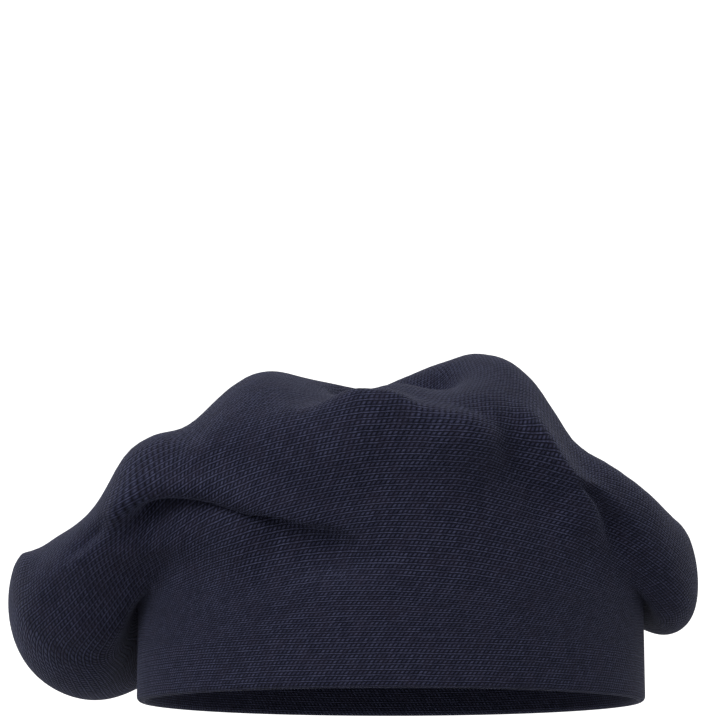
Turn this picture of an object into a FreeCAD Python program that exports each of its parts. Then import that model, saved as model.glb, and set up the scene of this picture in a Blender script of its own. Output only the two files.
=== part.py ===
"""A knitted beret in its worn shape: a one-piece knitted bag on a doubled brim.

The row frame has its origin at the centre of the head opening, in the plane of the brim's folded
edge. +X points to the wearer's forehead, +Y to the wearer's left and +Z up. Millimetres throughout.

The outside of the knit is one B-spline surface. It climbs the brim as an upright oval wall, sags out
into the bag, turns over at the bag's widest line and runs in over the roof to the drawn-up centre.
Every layer, seam and stitch is placed by its azimuth, by its place along the knit from the brim's
edge to the centre, and by its depth below the outside.
"""
import FreeCAD, Part  # FreeCAD has to come first
import math
import os

# Head opening, worn.
HEAD_LENGTH = 188.0  # inside the brim, forehead to nape
HEAD_BREADTH = 164.0  # inside the brim, ear to ear

# Layers of the brim.
KNIT_THICKNESS = 1.6
BRIM_HEIGHT = 40.0  # height of the turned-in facing
ELASTIC_THICKNESS = 0.8
ELASTIC_WIDTH = 22.0
ELASTIC_RAISE = 0.0  # of the tape's middle above the middle of its channel
LAYER_CLEARANCE = 0.05  # between the tape and the knit on each side of it
FOLD_EDGE = 2.0  # height of the folded edge, where the two layers of knit meet
HEM_EDGE = 3.0  # height of the sewn hem, where they meet again
HEM_GAP = 5.0  # from the hem's top edge up to the top of the brim

# The bag.
FRONT_OVERHANG = 22.0  # how far the bag stands out past the brim over the forehead
RIGHT_OVERHANG = 5.0
LEFT_OVERHANG = 26.0
NAPE_OVERHANG = 48.0  # the lobe that falls behind the head
NAPE_LOBE_AZIMUTH = 172.0
NAPE_UNDERSIDE = 3.0  # height to which the bag's underside is drawn down at that lobe
FRONT_UNDERSIDE = 20.0
LEFT_UNDERSIDE = 26.0
BAG_HEIGHT = 119.0  # height of the roof above the brim's edge
CENTRE_DIP = 14.0  # how far the drawn-up centre lies below the roof
CENTRE_X = -6.0
CENTRE_Y = 8.0
CROWN_HOLE_RADIUS = 3.2  # the hole left where the stitches are drawn up

# Soft folds of the bag: azimuth, half width in degrees, place from brim 0 to crown 1, half height of
# the fold in the same share, and how far it stands out and up.
FOLDS = (
    (-52.0, 29.0, 0.72, 0.34, 3.0, 14.0),
    (-122.0, 36.0, 0.72, 0.30, 1.0, 7.0),
    (-90.0, 24.0, 0.70, 0.30, -3.0, -3.0),
    (-12.0, 34.0, 0.55, 0.26, -2.0, -7.0),
    (-164.0, 38.0, 0.58, 0.26, -3.0, -6.0),
    (150.0, 40.0, 0.62, 0.30, 0.0, -6.0),
    (60.0, 36.0, 0.62, 0.30, 2.0, 2.0),
)

# Closing seam, from the brim to the crown.
SEAM_AZIMUTH = 150.0  # from the forehead, towards the wearer's left
SEAM_RIDGE_WIDTH = 4.0
SEAM_RIDGE_DEPTH = 1.8
SEAM_STITCH_PITCH = 7.0
SEAM_STITCH_LENGTH = 4.4

# Sewing thread.
THREAD_DIAMETER = 0.6
HEM_STITCH_PITCH = 7.0
HEM_STITCH_LENGTH = 5.2
HEM_STITCH_DROP = 1.6  # from the facing's top edge down to the stitches

# Drawn-up centre.
GATHER_CORD_DIAMETER = 1.6
GATHER_CLEARANCE = 0.05
KNOT_RADIUS = 2.8
TAIL_LENGTH = 13.0
TAIL_SPREAD = 28.0  # angle of each clipped tail from upright

# Care label: a strip sewn to the facing, and the flap that swings from it.
LABEL_AZIMUTH = 180.0
LABEL_WIDTH = 26.0
LABEL_DROP = 18.0
LABEL_THICKNESS = 0.5
LABEL_STRIP = 3.6  # height of the sewn strip
LABEL_STRIP_GAP = 1.0  # from the hem stitches down to the strip
LABEL_FOLD_GAP = 0.7  # between the strip and the flap
LABEL_CLEARANCE = 0.15  # between the label and the facing, at the label's side edges
LABEL_STITCH_COUNT = 6

# The control net of the surface.
COLUMN_COUNT = 36
BRIM_SPANS = 4
DEGREE = 3
OUT_DIR = "parts"

UP = FreeCAD.Vector(0.0, 0.0, 1.0)


def bell(azimuth, centre, half_width):
    """A smooth bump of height 1 at its centre that dies away at half_width, in degrees."""
    away = abs((azimuth - centre + 180.0) % 360.0 - 180.0)
    if away >= half_width:
        return 0.0
    return 0.5 * (1.0 + math.cos(math.pi * away / half_width))


def smooth_step(share):
    """0 below 0, 1 above 1, and a smooth rise between."""
    share = min(1.0, max(0.0, share))
    return share * share * (3.0 - 2.0 * share)


def brim_thickness():
    """Two layers of knit with the elastic tape between them."""
    return 2.0 * KNIT_THICKNESS + ELASTIC_THICKNESS


def overhang(azimuth):
    """How far the bag's widest line stands out past the brim."""
    reach = RIGHT_OVERHANG
    reach += (FRONT_OVERHANG - RIGHT_OVERHANG) * bell(azimuth, 5.0, 62.0)
    reach += (LEFT_OVERHANG - RIGHT_OVERHANG) * bell(azimuth, 80.0, 80.0)
    reach += (NAPE_OVERHANG - RIGHT_OVERHANG) * bell(azimuth, NAPE_LOBE_AZIMUTH, 72.0)
    return reach


def droop(azimuth):
    """How far the bag's underside hangs below the top of the brim."""
    fall = (BRIM_HEIGHT - NAPE_UNDERSIDE) * bell(azimuth, NAPE_LOBE_AZIMUTH - 6.0, 62.0)
    fall += (BRIM_HEIGHT - FRONT_UNDERSIDE) * bell(azimuth, 4.0, 58.0)
    return fall + (BRIM_HEIGHT - LEFT_UNDERSIDE) * bell(azimuth, 84.0, 60.0)


def fold_offsets(azimuth, share):
    """How far the folds move the knit out and up at a place from brim 0 to crown 1."""
    out = 0.0
    up = 0.0
    for centre, half_width, middle, half_height, reach, lift in FOLDS:
        near = max(-1.0, min(1.0, (share - middle) / half_height))
        weight = bell(azimuth, centre, half_width) * 0.5 * (1.0 + math.cos(math.pi * near))
        out += reach * weight
        up += lift * weight
    return out, up


def oval_point(azimuth, outset, share=1.0):
    """Point at height 0 on the brim's outside oval, moved out by outset and then scaled by share.

    The azimuth is the oval's own angle. The gain makes the smooth surface pass through the oval,
    because a B-spline lies inside its control points.
    """
    angle = math.radians(azimuth)
    gain = 6.0 / (4.0 + 2.0 * math.cos(2.0 * math.pi / COLUMN_COUNT))
    half_length = HEAD_LENGTH / 2.0 + brim_thickness() + outset
    half_breadth = HEAD_BREADTH / 2.0 + brim_thickness() + outset
    x = half_length * math.cos(angle)
    y = half_breadth * math.sin(angle)
    return FreeCAD.Vector(x, y, 0.0) * (share * gain)


def centre_point(azimuth, radius):
    """Point at height 0 on a circle round the drawn-up centre."""
    angle = math.radians(azimuth)
    return FreeCAD.Vector(math.cos(angle), math.sin(angle), 0.0) * radius


def brim_points(azimuth):
    """Control points up the brim, spaced so that height grows evenly along the surface."""
    span = BRIM_HEIGHT / BRIM_SPANS
    heights = [0.0, span / 3.0] + [span * row for row in range(1, BRIM_SPANS + 1)]
    return [oval_point(azimuth, 0.0) + UP * height for height in heights]


def bag_points(azimuth):
    """Control points of the bag, from just above the brim to the crown hole."""
    out = overhang(azimuth)
    fall = droop(azimuth)
    centre = BAG_HEIGHT - CENTRE_DIP
    rise = BAG_HEIGHT - BRIM_HEIGHT
    levels = [
        (oval_point(azimuth, 0.06 * out), 0.10 * rise, 0.40),
        (oval_point(azimuth, 0.16 * out), 0.18 * rise, 1.10),
        (oval_point(azimuth, 0.52 * out), 0.20 * rise, 1.56),
        (oval_point(azimuth, 1.00 * out), 0.22 * rise, 1.34),
        (oval_point(azimuth, 1.14 * out), 0.38 * rise, 0.96),
        (oval_point(azimuth, 1.02 * out), 0.64 * rise, 0.84),
        (oval_point(azimuth, out, 0.87), 0.86 * rise, 0.72),
        (oval_point(azimuth, out, 0.68), 1.00 * rise, 0.50),
        (oval_point(azimuth, out, 0.45), 1.06 * rise, 0.20),
        (oval_point(azimuth, out, 0.22), centre + 0.5 * (BAG_HEIGHT - centre) - BRIM_HEIGHT, 0.0),
        (centre_point(azimuth, 2.4 * CROWN_HOLE_RADIUS), centre - BRIM_HEIGHT, 0.0),
        (centre_point(azimuth, CROWN_HOLE_RADIUS), centre - 0.1 * CENTRE_DIP - BRIM_HEIGHT, 0.0),
    ]
    points = []
    for row, (point, height, hang) in enumerate(levels):
        share = row / (len(levels) - 1.0)
        out_by, up_by = fold_offsets(azimuth, share)
        moved = smooth_step((share - 0.2) / 0.6)
        shift = FreeCAD.Vector(CENTRE_X, CENTRE_Y, 0.0) * moved
        outward = FreeCAD.Vector(point.x, point.y, 0.0).normalize() * out_by
        points.append(point + shift + outward + UP * (BRIM_HEIGHT + height - hang * fall + up_by))
    return points


def knots_of(pole_count, periodic):
    """Even knots of a cubic direction, and how often each one counts."""
    if periodic:
        return [float(k) for k in range(pole_count + 1)], [1] * (pole_count + 1)
    spans = pole_count - DEGREE
    return [float(k) for k in range(spans + 1)], [DEGREE + 1] + [1] * (spans - 1) + [DEGREE + 1]


def pole_places(pole_count):
    """The parameter that each pole of a clamped direction bears on most."""
    top = pole_count - DEGREE
    flat = [0] * DEGREE + list(range(top + 1)) + [top] * DEGREE
    return [sum(flat[k + 1:k + 1 + DEGREE]) / float(DEGREE) for k in range(pole_count)]


def surface_of(net):
    """B-spline surface over a control net: u goes round the head and v up the knit."""
    u_knots, u_mults = knots_of(len(net), True)
    v_knots, v_mults = knots_of(len(net[0]), False)
    surface = Part.BSplineSurface()
    surface.buildFromPolesMultsKnots(
        net, u_mults, v_mults, u_knots, v_knots, True, False, DEGREE, DEGREE
    )
    return surface


def solid_of(faces):
    """Closed solid from faces that meet edge to edge."""
    shell = Part.makeShell(faces)
    shell.sewShape()
    solid = Part.makeSolid(shell)
    if solid.Volume < 0.0:
        solid.reverse()
    if not solid.isValid():
        raise ValueError("a solid of the beret did not close")
    return solid


def flat_ring(rings):
    """Flat face between two closed edges of one plane, such as the brim's folded edge."""
    return Part.makeFace([Part.Wire(ring) for ring in rings], "Part::FaceMakerBullseye")


class Knit:
    """The outside of the knit, and the layers and places under it."""

    def __init__(self):
        # A periodic surface starts at its second column, so column 1 is the one at azimuth 0.
        azimuths = [360.0 * (column - 1) / COLUMN_COUNT for column in range(COLUMN_COUNT)]
        self.net = [brim_points(a) + bag_points(a) for a in azimuths]
        self.outside = surface_of(self.net)
        self.top = float(len(self.net[0]) - DEGREE)

    def u_at(self, azimuth):
        """Surface parameter of an azimuth in degrees."""
        return (azimuth * COLUMN_COUNT / 360.0) % COLUMN_COUNT

    def v_at(self, height):
        """Surface parameter of a height on the brim, below its last span."""
        return height * BRIM_SPANS / BRIM_HEIGHT

    def place(self, u, v, depth):
        """Point at a depth under the outside of the knit."""
        return self.outside.value(u, v) - self.outside.normal(u, v) * depth

    def layer(self, depth):
        """Surface at a depth under the outside, over a net of its own."""
        places = pole_places(len(self.net[0]))
        moved = []
        for column, points in enumerate(self.net):
            u = (column - 1.0) % COLUMN_COUNT
            normals = [self.outside.normal(u, v) for v in places]
            moved.append([point - normal * depth for point, normal in zip(points, normals)])
        return surface_of(moved)

    def round_solid(self, corners):
        """Solid all round the head whose section runs through corners of (depth, v).

        Neighbouring corners share a depth or a v.
        """
        layers = {depth: self.layer(depth) for depth, _ in corners}
        faces = []
        for (depth, v), (next_depth, next_v) in zip(corners, corners[1:] + corners[:1]):
            if depth == next_depth:
                low, high = min(v, next_v), max(v, next_v)
                faces.append(layers[depth].toShape(0.0, float(COLUMN_COUNT), low, high))
            else:
                rings = [layers[d].vIso(v).toShape() for d in sorted((depth, next_depth))]
                faces.append(flat_ring(rings) if v == 0.0 else Part.makeRuledSurface(*rings))
        return solid_of(faces)

    def sleeve(self, near, far, v_low, v_high):
        """Solid between two depths all round the head."""
        return self.round_solid([(near, v_low), (far, v_low), (far, v_high), (near, v_high)])

    def frame(self, u, v):
        """Unit vectors at a place: round the head, up along the knit and out of it."""
        outward = self.outside.normal(u, v)
        round_head = (self.outside.value(u + 0.01, v) - self.outside.value(u - 0.01, v)).normalize()
        return round_head, outward.cross(round_head), outward

    def along(self, v, distance):
        """How much v changes over a distance up the knit, near v on the closing seam."""
        u = self.u_at(SEAM_AZIMUTH)
        step = 0.02
        return distance * step / self.outside.value(u, v).distanceToPoint(self.outside.value(u, v + step))


def crown_knit(knit):
    """The knitted bag and the outer layer of the brim, in one piece from folded edge to centre."""
    return knit.sleeve(0.0, KNIT_THICKNESS, 0.0, knit.top)


def facing_height():
    """Height of the facing's top edge above the folded edge."""
    return BRIM_HEIGHT - HEM_GAP


def brim_facing(knit):
    """The inner layer of the doubled brim, turned in at the folded edge and hemmed at its top."""
    inside = brim_thickness()
    channel = KNIT_THICKNESS + ELASTIC_THICKNESS
    top = knit.v_at(facing_height())
    hem = knit.v_at(facing_height() - HEM_EDGE)
    fold = knit.v_at(FOLD_EDGE)
    return knit.round_solid([
        (KNIT_THICKNESS, 0.0),
        (inside, 0.0),
        (inside, top),
        (KNIT_THICKNESS, top),
        (KNIT_THICKNESS, hem),
        (channel, hem),
        (channel, fold),
        (KNIT_THICKNESS, fold),
    ])


def brim_elastic(knit):
    """Flat elastic tape that grips the head, lying loose in the channel between the layers."""
    middle = (FOLD_EDGE + facing_height() - HEM_EDGE) / 2.0 + ELASTIC_RAISE
    low = knit.v_at(middle - ELASTIC_WIDTH / 2.0)
    high = knit.v_at(middle + ELASTIC_WIDTH / 2.0)
    near = KNIT_THICKNESS + LAYER_CLEARANCE
    return knit.sleeve(near, near + ELASTIC_THICKNESS - 2.0 * LAYER_CLEARANCE, low, high)


def thread_run(centre, direction, length):
    """One straight run of sewing thread."""
    start = centre - direction * (length / 2.0)
    return Part.makeCylinder(THREAD_DIAMETER / 2.0, length, start, direction)


def hem_stitches(knit):
    """Ring of stitches that holds the facing's top edge to the outer layer."""
    v = knit.v_at(facing_height() - HEM_STITCH_DROP)
    girth = math.pi * (HEAD_LENGTH + HEAD_BREADTH) / 2.0
    count = int(girth / HEM_STITCH_PITCH)
    runs = []
    for index in range(count):
        u = COLUMN_COUNT * (index + 0.5) / count
        centre = knit.place(u, v, brim_thickness() + THREAD_DIAMETER / 2.0)
        runs.append(thread_run(centre, knit.frame(u, v)[0], HEM_STITCH_LENGTH))
    return Part.makeCompound(runs)


def seam_line(knit):
    """(u, lowest v, highest v) of the closing seam above the facing."""
    return knit.u_at(SEAM_AZIMUTH), knit.v_at(facing_height()), knit.top - 0.25


def seam_ridge(knit):
    """The two joined edges of the knit, standing proud inside along the closing seam."""
    u, low, high = seam_line(knit)
    count = 28
    sections = []
    for index in range(count):
        v = low + (high - low) * index / (count - 1.0)
        side = knit.frame(u, v)[0]
        base = knit.place(u, v, KNIT_THICKNESS)
        tip = knit.place(u, v, KNIT_THICKNESS + SEAM_RIDGE_DEPTH)
        half = side * (SEAM_RIDGE_WIDTH / 2.0)
        corners = [base - half, base + half, tip + half, tip - half]
        sections.append(Part.makePolygon(corners + corners[:1]))
    return Part.makeLoft(sections, True, False)


def seam_stitches(knit):
    """Thread runs that lie along the crest of the seam ridge."""
    u, v, high = seam_line(knit)
    runs = []
    v += knit.along(v, SEAM_STITCH_PITCH)
    while v < high - knit.along(high - 0.1, SEAM_STITCH_PITCH):
        depth = KNIT_THICKNESS + SEAM_RIDGE_DEPTH + THREAD_DIAMETER / 2.0
        runs.append(thread_run(knit.place(u, v, depth), knit.frame(u, v)[1], SEAM_STITCH_LENGTH))
        v += knit.along(v, SEAM_STITCH_PITCH)
    return Part.makeCompound(runs)


def crown_hole(knit):
    """(middle, radius) of the crown hole, half way through the knit at its edge."""
    near, far = [knit.place(u, knit.top, KNIT_THICKNESS / 2.0) for u in (0.0, COLUMN_COUNT / 2.0)]
    return (near + far) * 0.5, (near - far).Length / 2.0


def cord_ring_radius(knit):
    """Radius of the gathering cord's ring, which lies against the edge of the crown hole."""
    return crown_hole(knit)[1] - GATHER_CORD_DIAMETER / 2.0 - GATHER_CLEARANCE


def gather_cord(knit):
    """Cord that draws up the last stitches, closed in a ring inside the crown hole."""
    return Part.makeTorus(cord_ring_radius(knit), GATHER_CORD_DIAMETER / 2.0, crown_hole(knit)[0], UP)


def gather_knot(knit):
    """Knot that rests against the cord's ring inside the crown, with its two clipped tails."""
    reach = KNOT_RADIUS + GATHER_CORD_DIAMETER / 2.0
    middle = crown_hole(knit)[0] - UP * math.sqrt(reach ** 2 - cord_ring_radius(knit) ** 2)
    knot = Part.makeSphere(KNOT_RADIUS, middle)
    for side in (-1.0, 1.0):
        angle = math.radians(TAIL_SPREAD)
        down = FreeCAD.Vector(side * math.sin(angle), 0.0, -math.cos(angle))
        radius = GATHER_CORD_DIAMETER / 2.0
        knot = knot.fuse(Part.makeCylinder(radius, KNOT_RADIUS + TAIL_LENGTH, middle, down))
    return knot


class Label:
    """Where the care label lies: a flat strip of cloth just clear of the curved facing."""

    def __init__(self, knit):
        self.top = facing_height() - HEM_STITCH_DROP - LABEL_STRIP_GAP
        u = knit.u_at(LABEL_AZIMUTH)
        self.side, _, outward = knit.frame(u, knit.v_at(self.top))
        self.inward = outward * -1.0
        wall = knit.place(u, knit.v_at(self.top), brim_thickness())
        rise = self.edge_rise(knit, wall)
        self.back = wall + self.inward * (rise + LABEL_CLEARANCE)

    def edge_rise(self, knit, wall):
        """How far the curved facing stands inward of its middle where the label's edges are."""
        start = knit.u_at(LABEL_AZIMUTH)
        v = knit.v_at(self.top)
        rise = 0.0
        for step in range(120):
            point = knit.place((start + 0.05 * step) % COLUMN_COUNT, v, brim_thickness())
            if abs((point - wall).dot(self.side)) > LABEL_WIDTH / 2.0:
                return rise
            rise = (point - wall).dot(self.inward)
        return rise

    def cloth(self, top, height):
        """Flat piece of the label, from a top height down."""
        origin = self.back - self.side * (LABEL_WIDTH / 2.0)
        corners = [FreeCAD.Vector(origin.x, origin.y, top)]
        corners.append(corners[0] + self.side * LABEL_WIDTH)
        corners.append(corners[1] + self.inward * LABEL_THICKNESS)
        corners.append(corners[0] + self.inward * LABEL_THICKNESS)
        outline = Part.makePolygon(corners + corners[:1])
        return Part.Face(outline).extrude(UP * -height)


def label_strip(label):
    """Top of the care label, sewn flat to the facing."""
    return label.cloth(label.top, LABEL_STRIP)


def label_flap(label):
    """Free part of the care label, which swings on the fold under its sewn strip."""
    return label.cloth(label.top - LABEL_STRIP - LABEL_FOLD_GAP, LABEL_DROP)


def label_stitches(label):
    """Row of stitches through the label's sewn strip."""
    pitch = LABEL_WIDTH / LABEL_STITCH_COUNT
    height = label.top - LABEL_STRIP / 2.0
    front = label.back + label.inward * (LABEL_THICKNESS + THREAD_DIAMETER / 2.0)
    runs = []
    for index in range(LABEL_STITCH_COUNT):
        along = pitch * (index + 0.5) - LABEL_WIDTH / 2.0
        centre = FreeCAD.Vector(front.x, front.y, height) + label.side * along
        runs.append(thread_run(centre, label.side, 0.7 * pitch))
    return Part.makeCompound(runs)


def main():
    """Builds every node and writes one STEP file for each."""
    knit = Knit()
    label = Label(knit)
    nodes = {
        "crown_knit": crown_knit(knit),
        "brim_facing": brim_facing(knit),
        "brim_elastic": brim_elastic(knit),
        "hem_stitches": hem_stitches(knit),
        "seam_ridge": seam_ridge(knit),
        "seam_stitches": seam_stitches(knit),
        "gather_cord": gather_cord(knit),
        "gather_knot": gather_knot(knit),
        "label_strip": label_strip(label),
        "label_flap": label_flap(label),
        "label_stitches": label_stitches(label),
    }
    os.makedirs(OUT_DIR, exist_ok=True)
    for name, shape in nodes.items():
        shape.exportStep(os.path.join(OUT_DIR, name + ".step"))
        print(name, len(shape.Solids), "solids", round(shape.Volume, 1), "mm3")


if __name__ == "__main__":
    main()
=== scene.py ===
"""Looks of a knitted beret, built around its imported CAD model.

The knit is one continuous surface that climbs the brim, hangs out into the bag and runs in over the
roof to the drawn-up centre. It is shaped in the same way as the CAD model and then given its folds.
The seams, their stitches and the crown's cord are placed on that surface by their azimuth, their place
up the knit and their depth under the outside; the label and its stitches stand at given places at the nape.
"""

import logging
import math
from dataclasses import dataclass, field
from enum import Enum
from typing import Any, Callable, Iterable, Optional, Sequence, Union

import bpy
import numpy as np
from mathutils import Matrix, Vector

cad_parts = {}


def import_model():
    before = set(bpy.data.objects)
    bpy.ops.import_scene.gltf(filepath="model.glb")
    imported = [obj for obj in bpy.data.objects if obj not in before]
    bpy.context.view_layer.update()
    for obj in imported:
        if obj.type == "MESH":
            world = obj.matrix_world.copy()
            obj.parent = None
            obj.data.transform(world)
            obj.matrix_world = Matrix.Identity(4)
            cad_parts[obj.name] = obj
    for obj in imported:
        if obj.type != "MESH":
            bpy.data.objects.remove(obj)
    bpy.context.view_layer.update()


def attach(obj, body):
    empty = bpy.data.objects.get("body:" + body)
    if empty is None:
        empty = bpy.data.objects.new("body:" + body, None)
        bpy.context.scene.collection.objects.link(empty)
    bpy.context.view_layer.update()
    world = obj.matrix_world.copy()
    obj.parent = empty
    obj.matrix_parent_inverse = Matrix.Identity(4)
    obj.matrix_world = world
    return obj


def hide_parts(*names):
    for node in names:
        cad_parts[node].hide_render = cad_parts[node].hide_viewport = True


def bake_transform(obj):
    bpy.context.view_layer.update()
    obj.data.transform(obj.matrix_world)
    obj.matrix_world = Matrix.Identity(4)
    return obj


LOG = logging.getLogger("beret")
MM = 0.001

Number = Union[int, float]
Pair = tuple[float, float]
Triple = tuple[float, float, float]
Shape = tuple[np.ndarray, list[tuple[int, ...]]]


# ---------------------------------------------------------------- shader wiring


class Wire:
    """A socket of a shader tree that Python's arithmetic can be written on."""

    def __init__(self, graph: "Graph", socket: Any) -> None:
        """Wraps one output socket."""
        self.graph = graph
        self.socket = socket

    def _math(self, operation: str, *others: Union["Wire", Number]) -> "Wire":
        """Adds a Math node that works on this value and up to two more."""
        values = {index: value for index, value in enumerate((self, *others))}
        return self.graph.node("ShaderNodeMath", {"operation": operation}, values)

    def _turned(self, operation: str, other: Number) -> "Wire":
        """Adds a Math node with a plain number before this value."""
        return self.graph.node("ShaderNodeMath", {"operation": operation}, {0: other, 1: self})

    def __add__(self, other: Union["Wire", Number]) -> "Wire":
        """Sum."""
        return self._math("ADD", other)

    def __radd__(self, other: Number) -> "Wire":
        """Sum with a number first."""
        return self._turned("ADD", other)

    def __sub__(self, other: Union["Wire", Number]) -> "Wire":
        """Difference."""
        return self._math("SUBTRACT", other)

    def __rsub__(self, other: Number) -> "Wire":
        """Difference from a number."""
        return self._turned("SUBTRACT", other)

    def __mul__(self, other: Union["Wire", Number]) -> "Wire":
        """Product."""
        return self._math("MULTIPLY", other)

    def __rmul__(self, other: Number) -> "Wire":
        """Product with a number first."""
        return self._turned("MULTIPLY", other)

    def __truediv__(self, other: Union["Wire", Number]) -> "Wire":
        """Quotient."""
        return self._math("DIVIDE", other)

    def power(self, other: Number) -> "Wire":
        """This value raised to a power."""
        return self._math("POWER", other)

    def floor(self) -> "Wire":
        """Whole part."""
        return self._math("FLOOR")

    def fraction(self) -> "Wire":
        """Part after the point."""
        return self._math("FRACT")

    def sine(self) -> "Wire":
        """Sine of the value in radians."""
        return self._math("SINE")

    def absolute(self) -> "Wire":
        """Size of the value without its sign."""
        return self._math("ABSOLUTE")

    def at_least(self, other: Union["Wire", Number]) -> "Wire":
        """The larger of two values."""
        return self._math("MAXIMUM", other)


class Graph:
    """The node tree of one material."""

    def __init__(self, name: str) -> None:
        """Makes the material with a bare Principled shader.

        Args:
            name: The material's name.
        """
        self.material = bpy.data.materials.new(name)
        self.material.use_nodes = True
        self.tree = self.material.node_tree
        self.tree.nodes.clear()
        self.shader = self.tree.nodes.new("ShaderNodeBsdfPrincipled")
        output = self.tree.nodes.new("ShaderNodeOutputMaterial")
        self.tree.links.new(self.shader.outputs[0], output.inputs["Surface"])

    def node(self, kind: str, settings: dict[str, Any], values: dict[Any, Any],
             output: Union[int, str] = 0) -> Wire:
        """Adds one node.

        Args:
            kind: The node's type.
            settings: Its properties, set before its sockets.
            values: Its sockets by name or index, each a Wire or a plain value.
            output: The output socket wanted.

        Returns:
            The output as a Wire.
        """
        node = self.tree.nodes.new(kind)
        for key, value in settings.items():
            setattr(node, key, value)
        for key, value in values.items():
            if isinstance(value, Wire):
                self.tree.links.new(value.socket, node.inputs[key])
            else:
                node.inputs[key].default_value = value
        return Wire(self, node.outputs[output])

    def mix(self, share: Union[Wire, Number], low: Any, high: Any) -> Wire:
        """Blends two colours."""
        settings = {"data_type": "RGBA"}
        return self.node("ShaderNodeMix", settings, {0: share, 6: low, 7: high}, 2)

    def noise(self, vector: Wire, scale: float, detail: float = 2.0, rough: float = 0.5) -> Wire:
        """Soft noise between about 0.25 and 0.75."""
        values = {"Vector": vector, "Scale": scale, "Detail": detail, "Roughness": rough}
        return self.node("ShaderNodeTexNoise", {}, values)

    def step(self, value: Wire, low: float, high: float) -> Wire:
        """Smooth rise from 0 to 1 between two values."""
        settings = {"interpolation_type": "SMOOTHSTEP"}
        return self.node("ShaderNodeMapRange", settings, {0: value, 1: low, 2: high, 3: 0.0, 4: 1.0})

    def uv(self, layer: str) -> tuple[Wire, Wire]:
        """The two coordinates of a UV map."""
        return self._split(self.node("ShaderNodeUVMap", {"uv_map": layer}, {}))[:2]

    def vector(self, x: Any, y: Any, z: Any = 0.0) -> Wire:
        """Vector from three values."""
        return self.node("ShaderNodeCombineXYZ", {}, {0: x, 1: y, 2: z})

    def place(self) -> tuple[Wire, Wire, Wire, Wire]:
        """The object's coordinates in metres, whole and as x, y and z."""
        whole = self.node("ShaderNodeTexCoord", {}, {}, "Object")
        return whole, *self._split(whole)

    def _split(self, vector: Wire) -> tuple[Wire, ...]:
        """Splits a vector.

        Args:
            vector: The vector.

        Returns:
            Its x, y and z.
        """
        parts = self.tree.nodes.new("ShaderNodeSeparateXYZ")
        self.tree.links.new(vector.socket, parts.inputs[0])
        return tuple(Wire(self, socket) for socket in parts.outputs)

    def bump(self, height: Wire, distance: float, strength: float = 1.0) -> Wire:
        """Normal bent by a height."""
        return self.node("ShaderNodeBump", {}, {"Strength": strength, "Distance": distance, "Height": height})

    def feed(self, links: dict[str, Wire], constants: dict[str, Any]) -> None:
        """Sets the Principled shader.

        Args:
            links: Sockets whose value changes over the surface.
            constants: Sockets that are the same all over.
        """
        for key, value in constants.items():
            self.shader.inputs[key].default_value = value
        for key, wire in links.items():
            self.tree.links.new(wire.socket, self.shader.inputs[key])


# ---------------------------------------------------------------- finishes


class Side(Enum):
    """Which face of the knit shows."""

    FACE = "face"
    BACK = "back"


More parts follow.
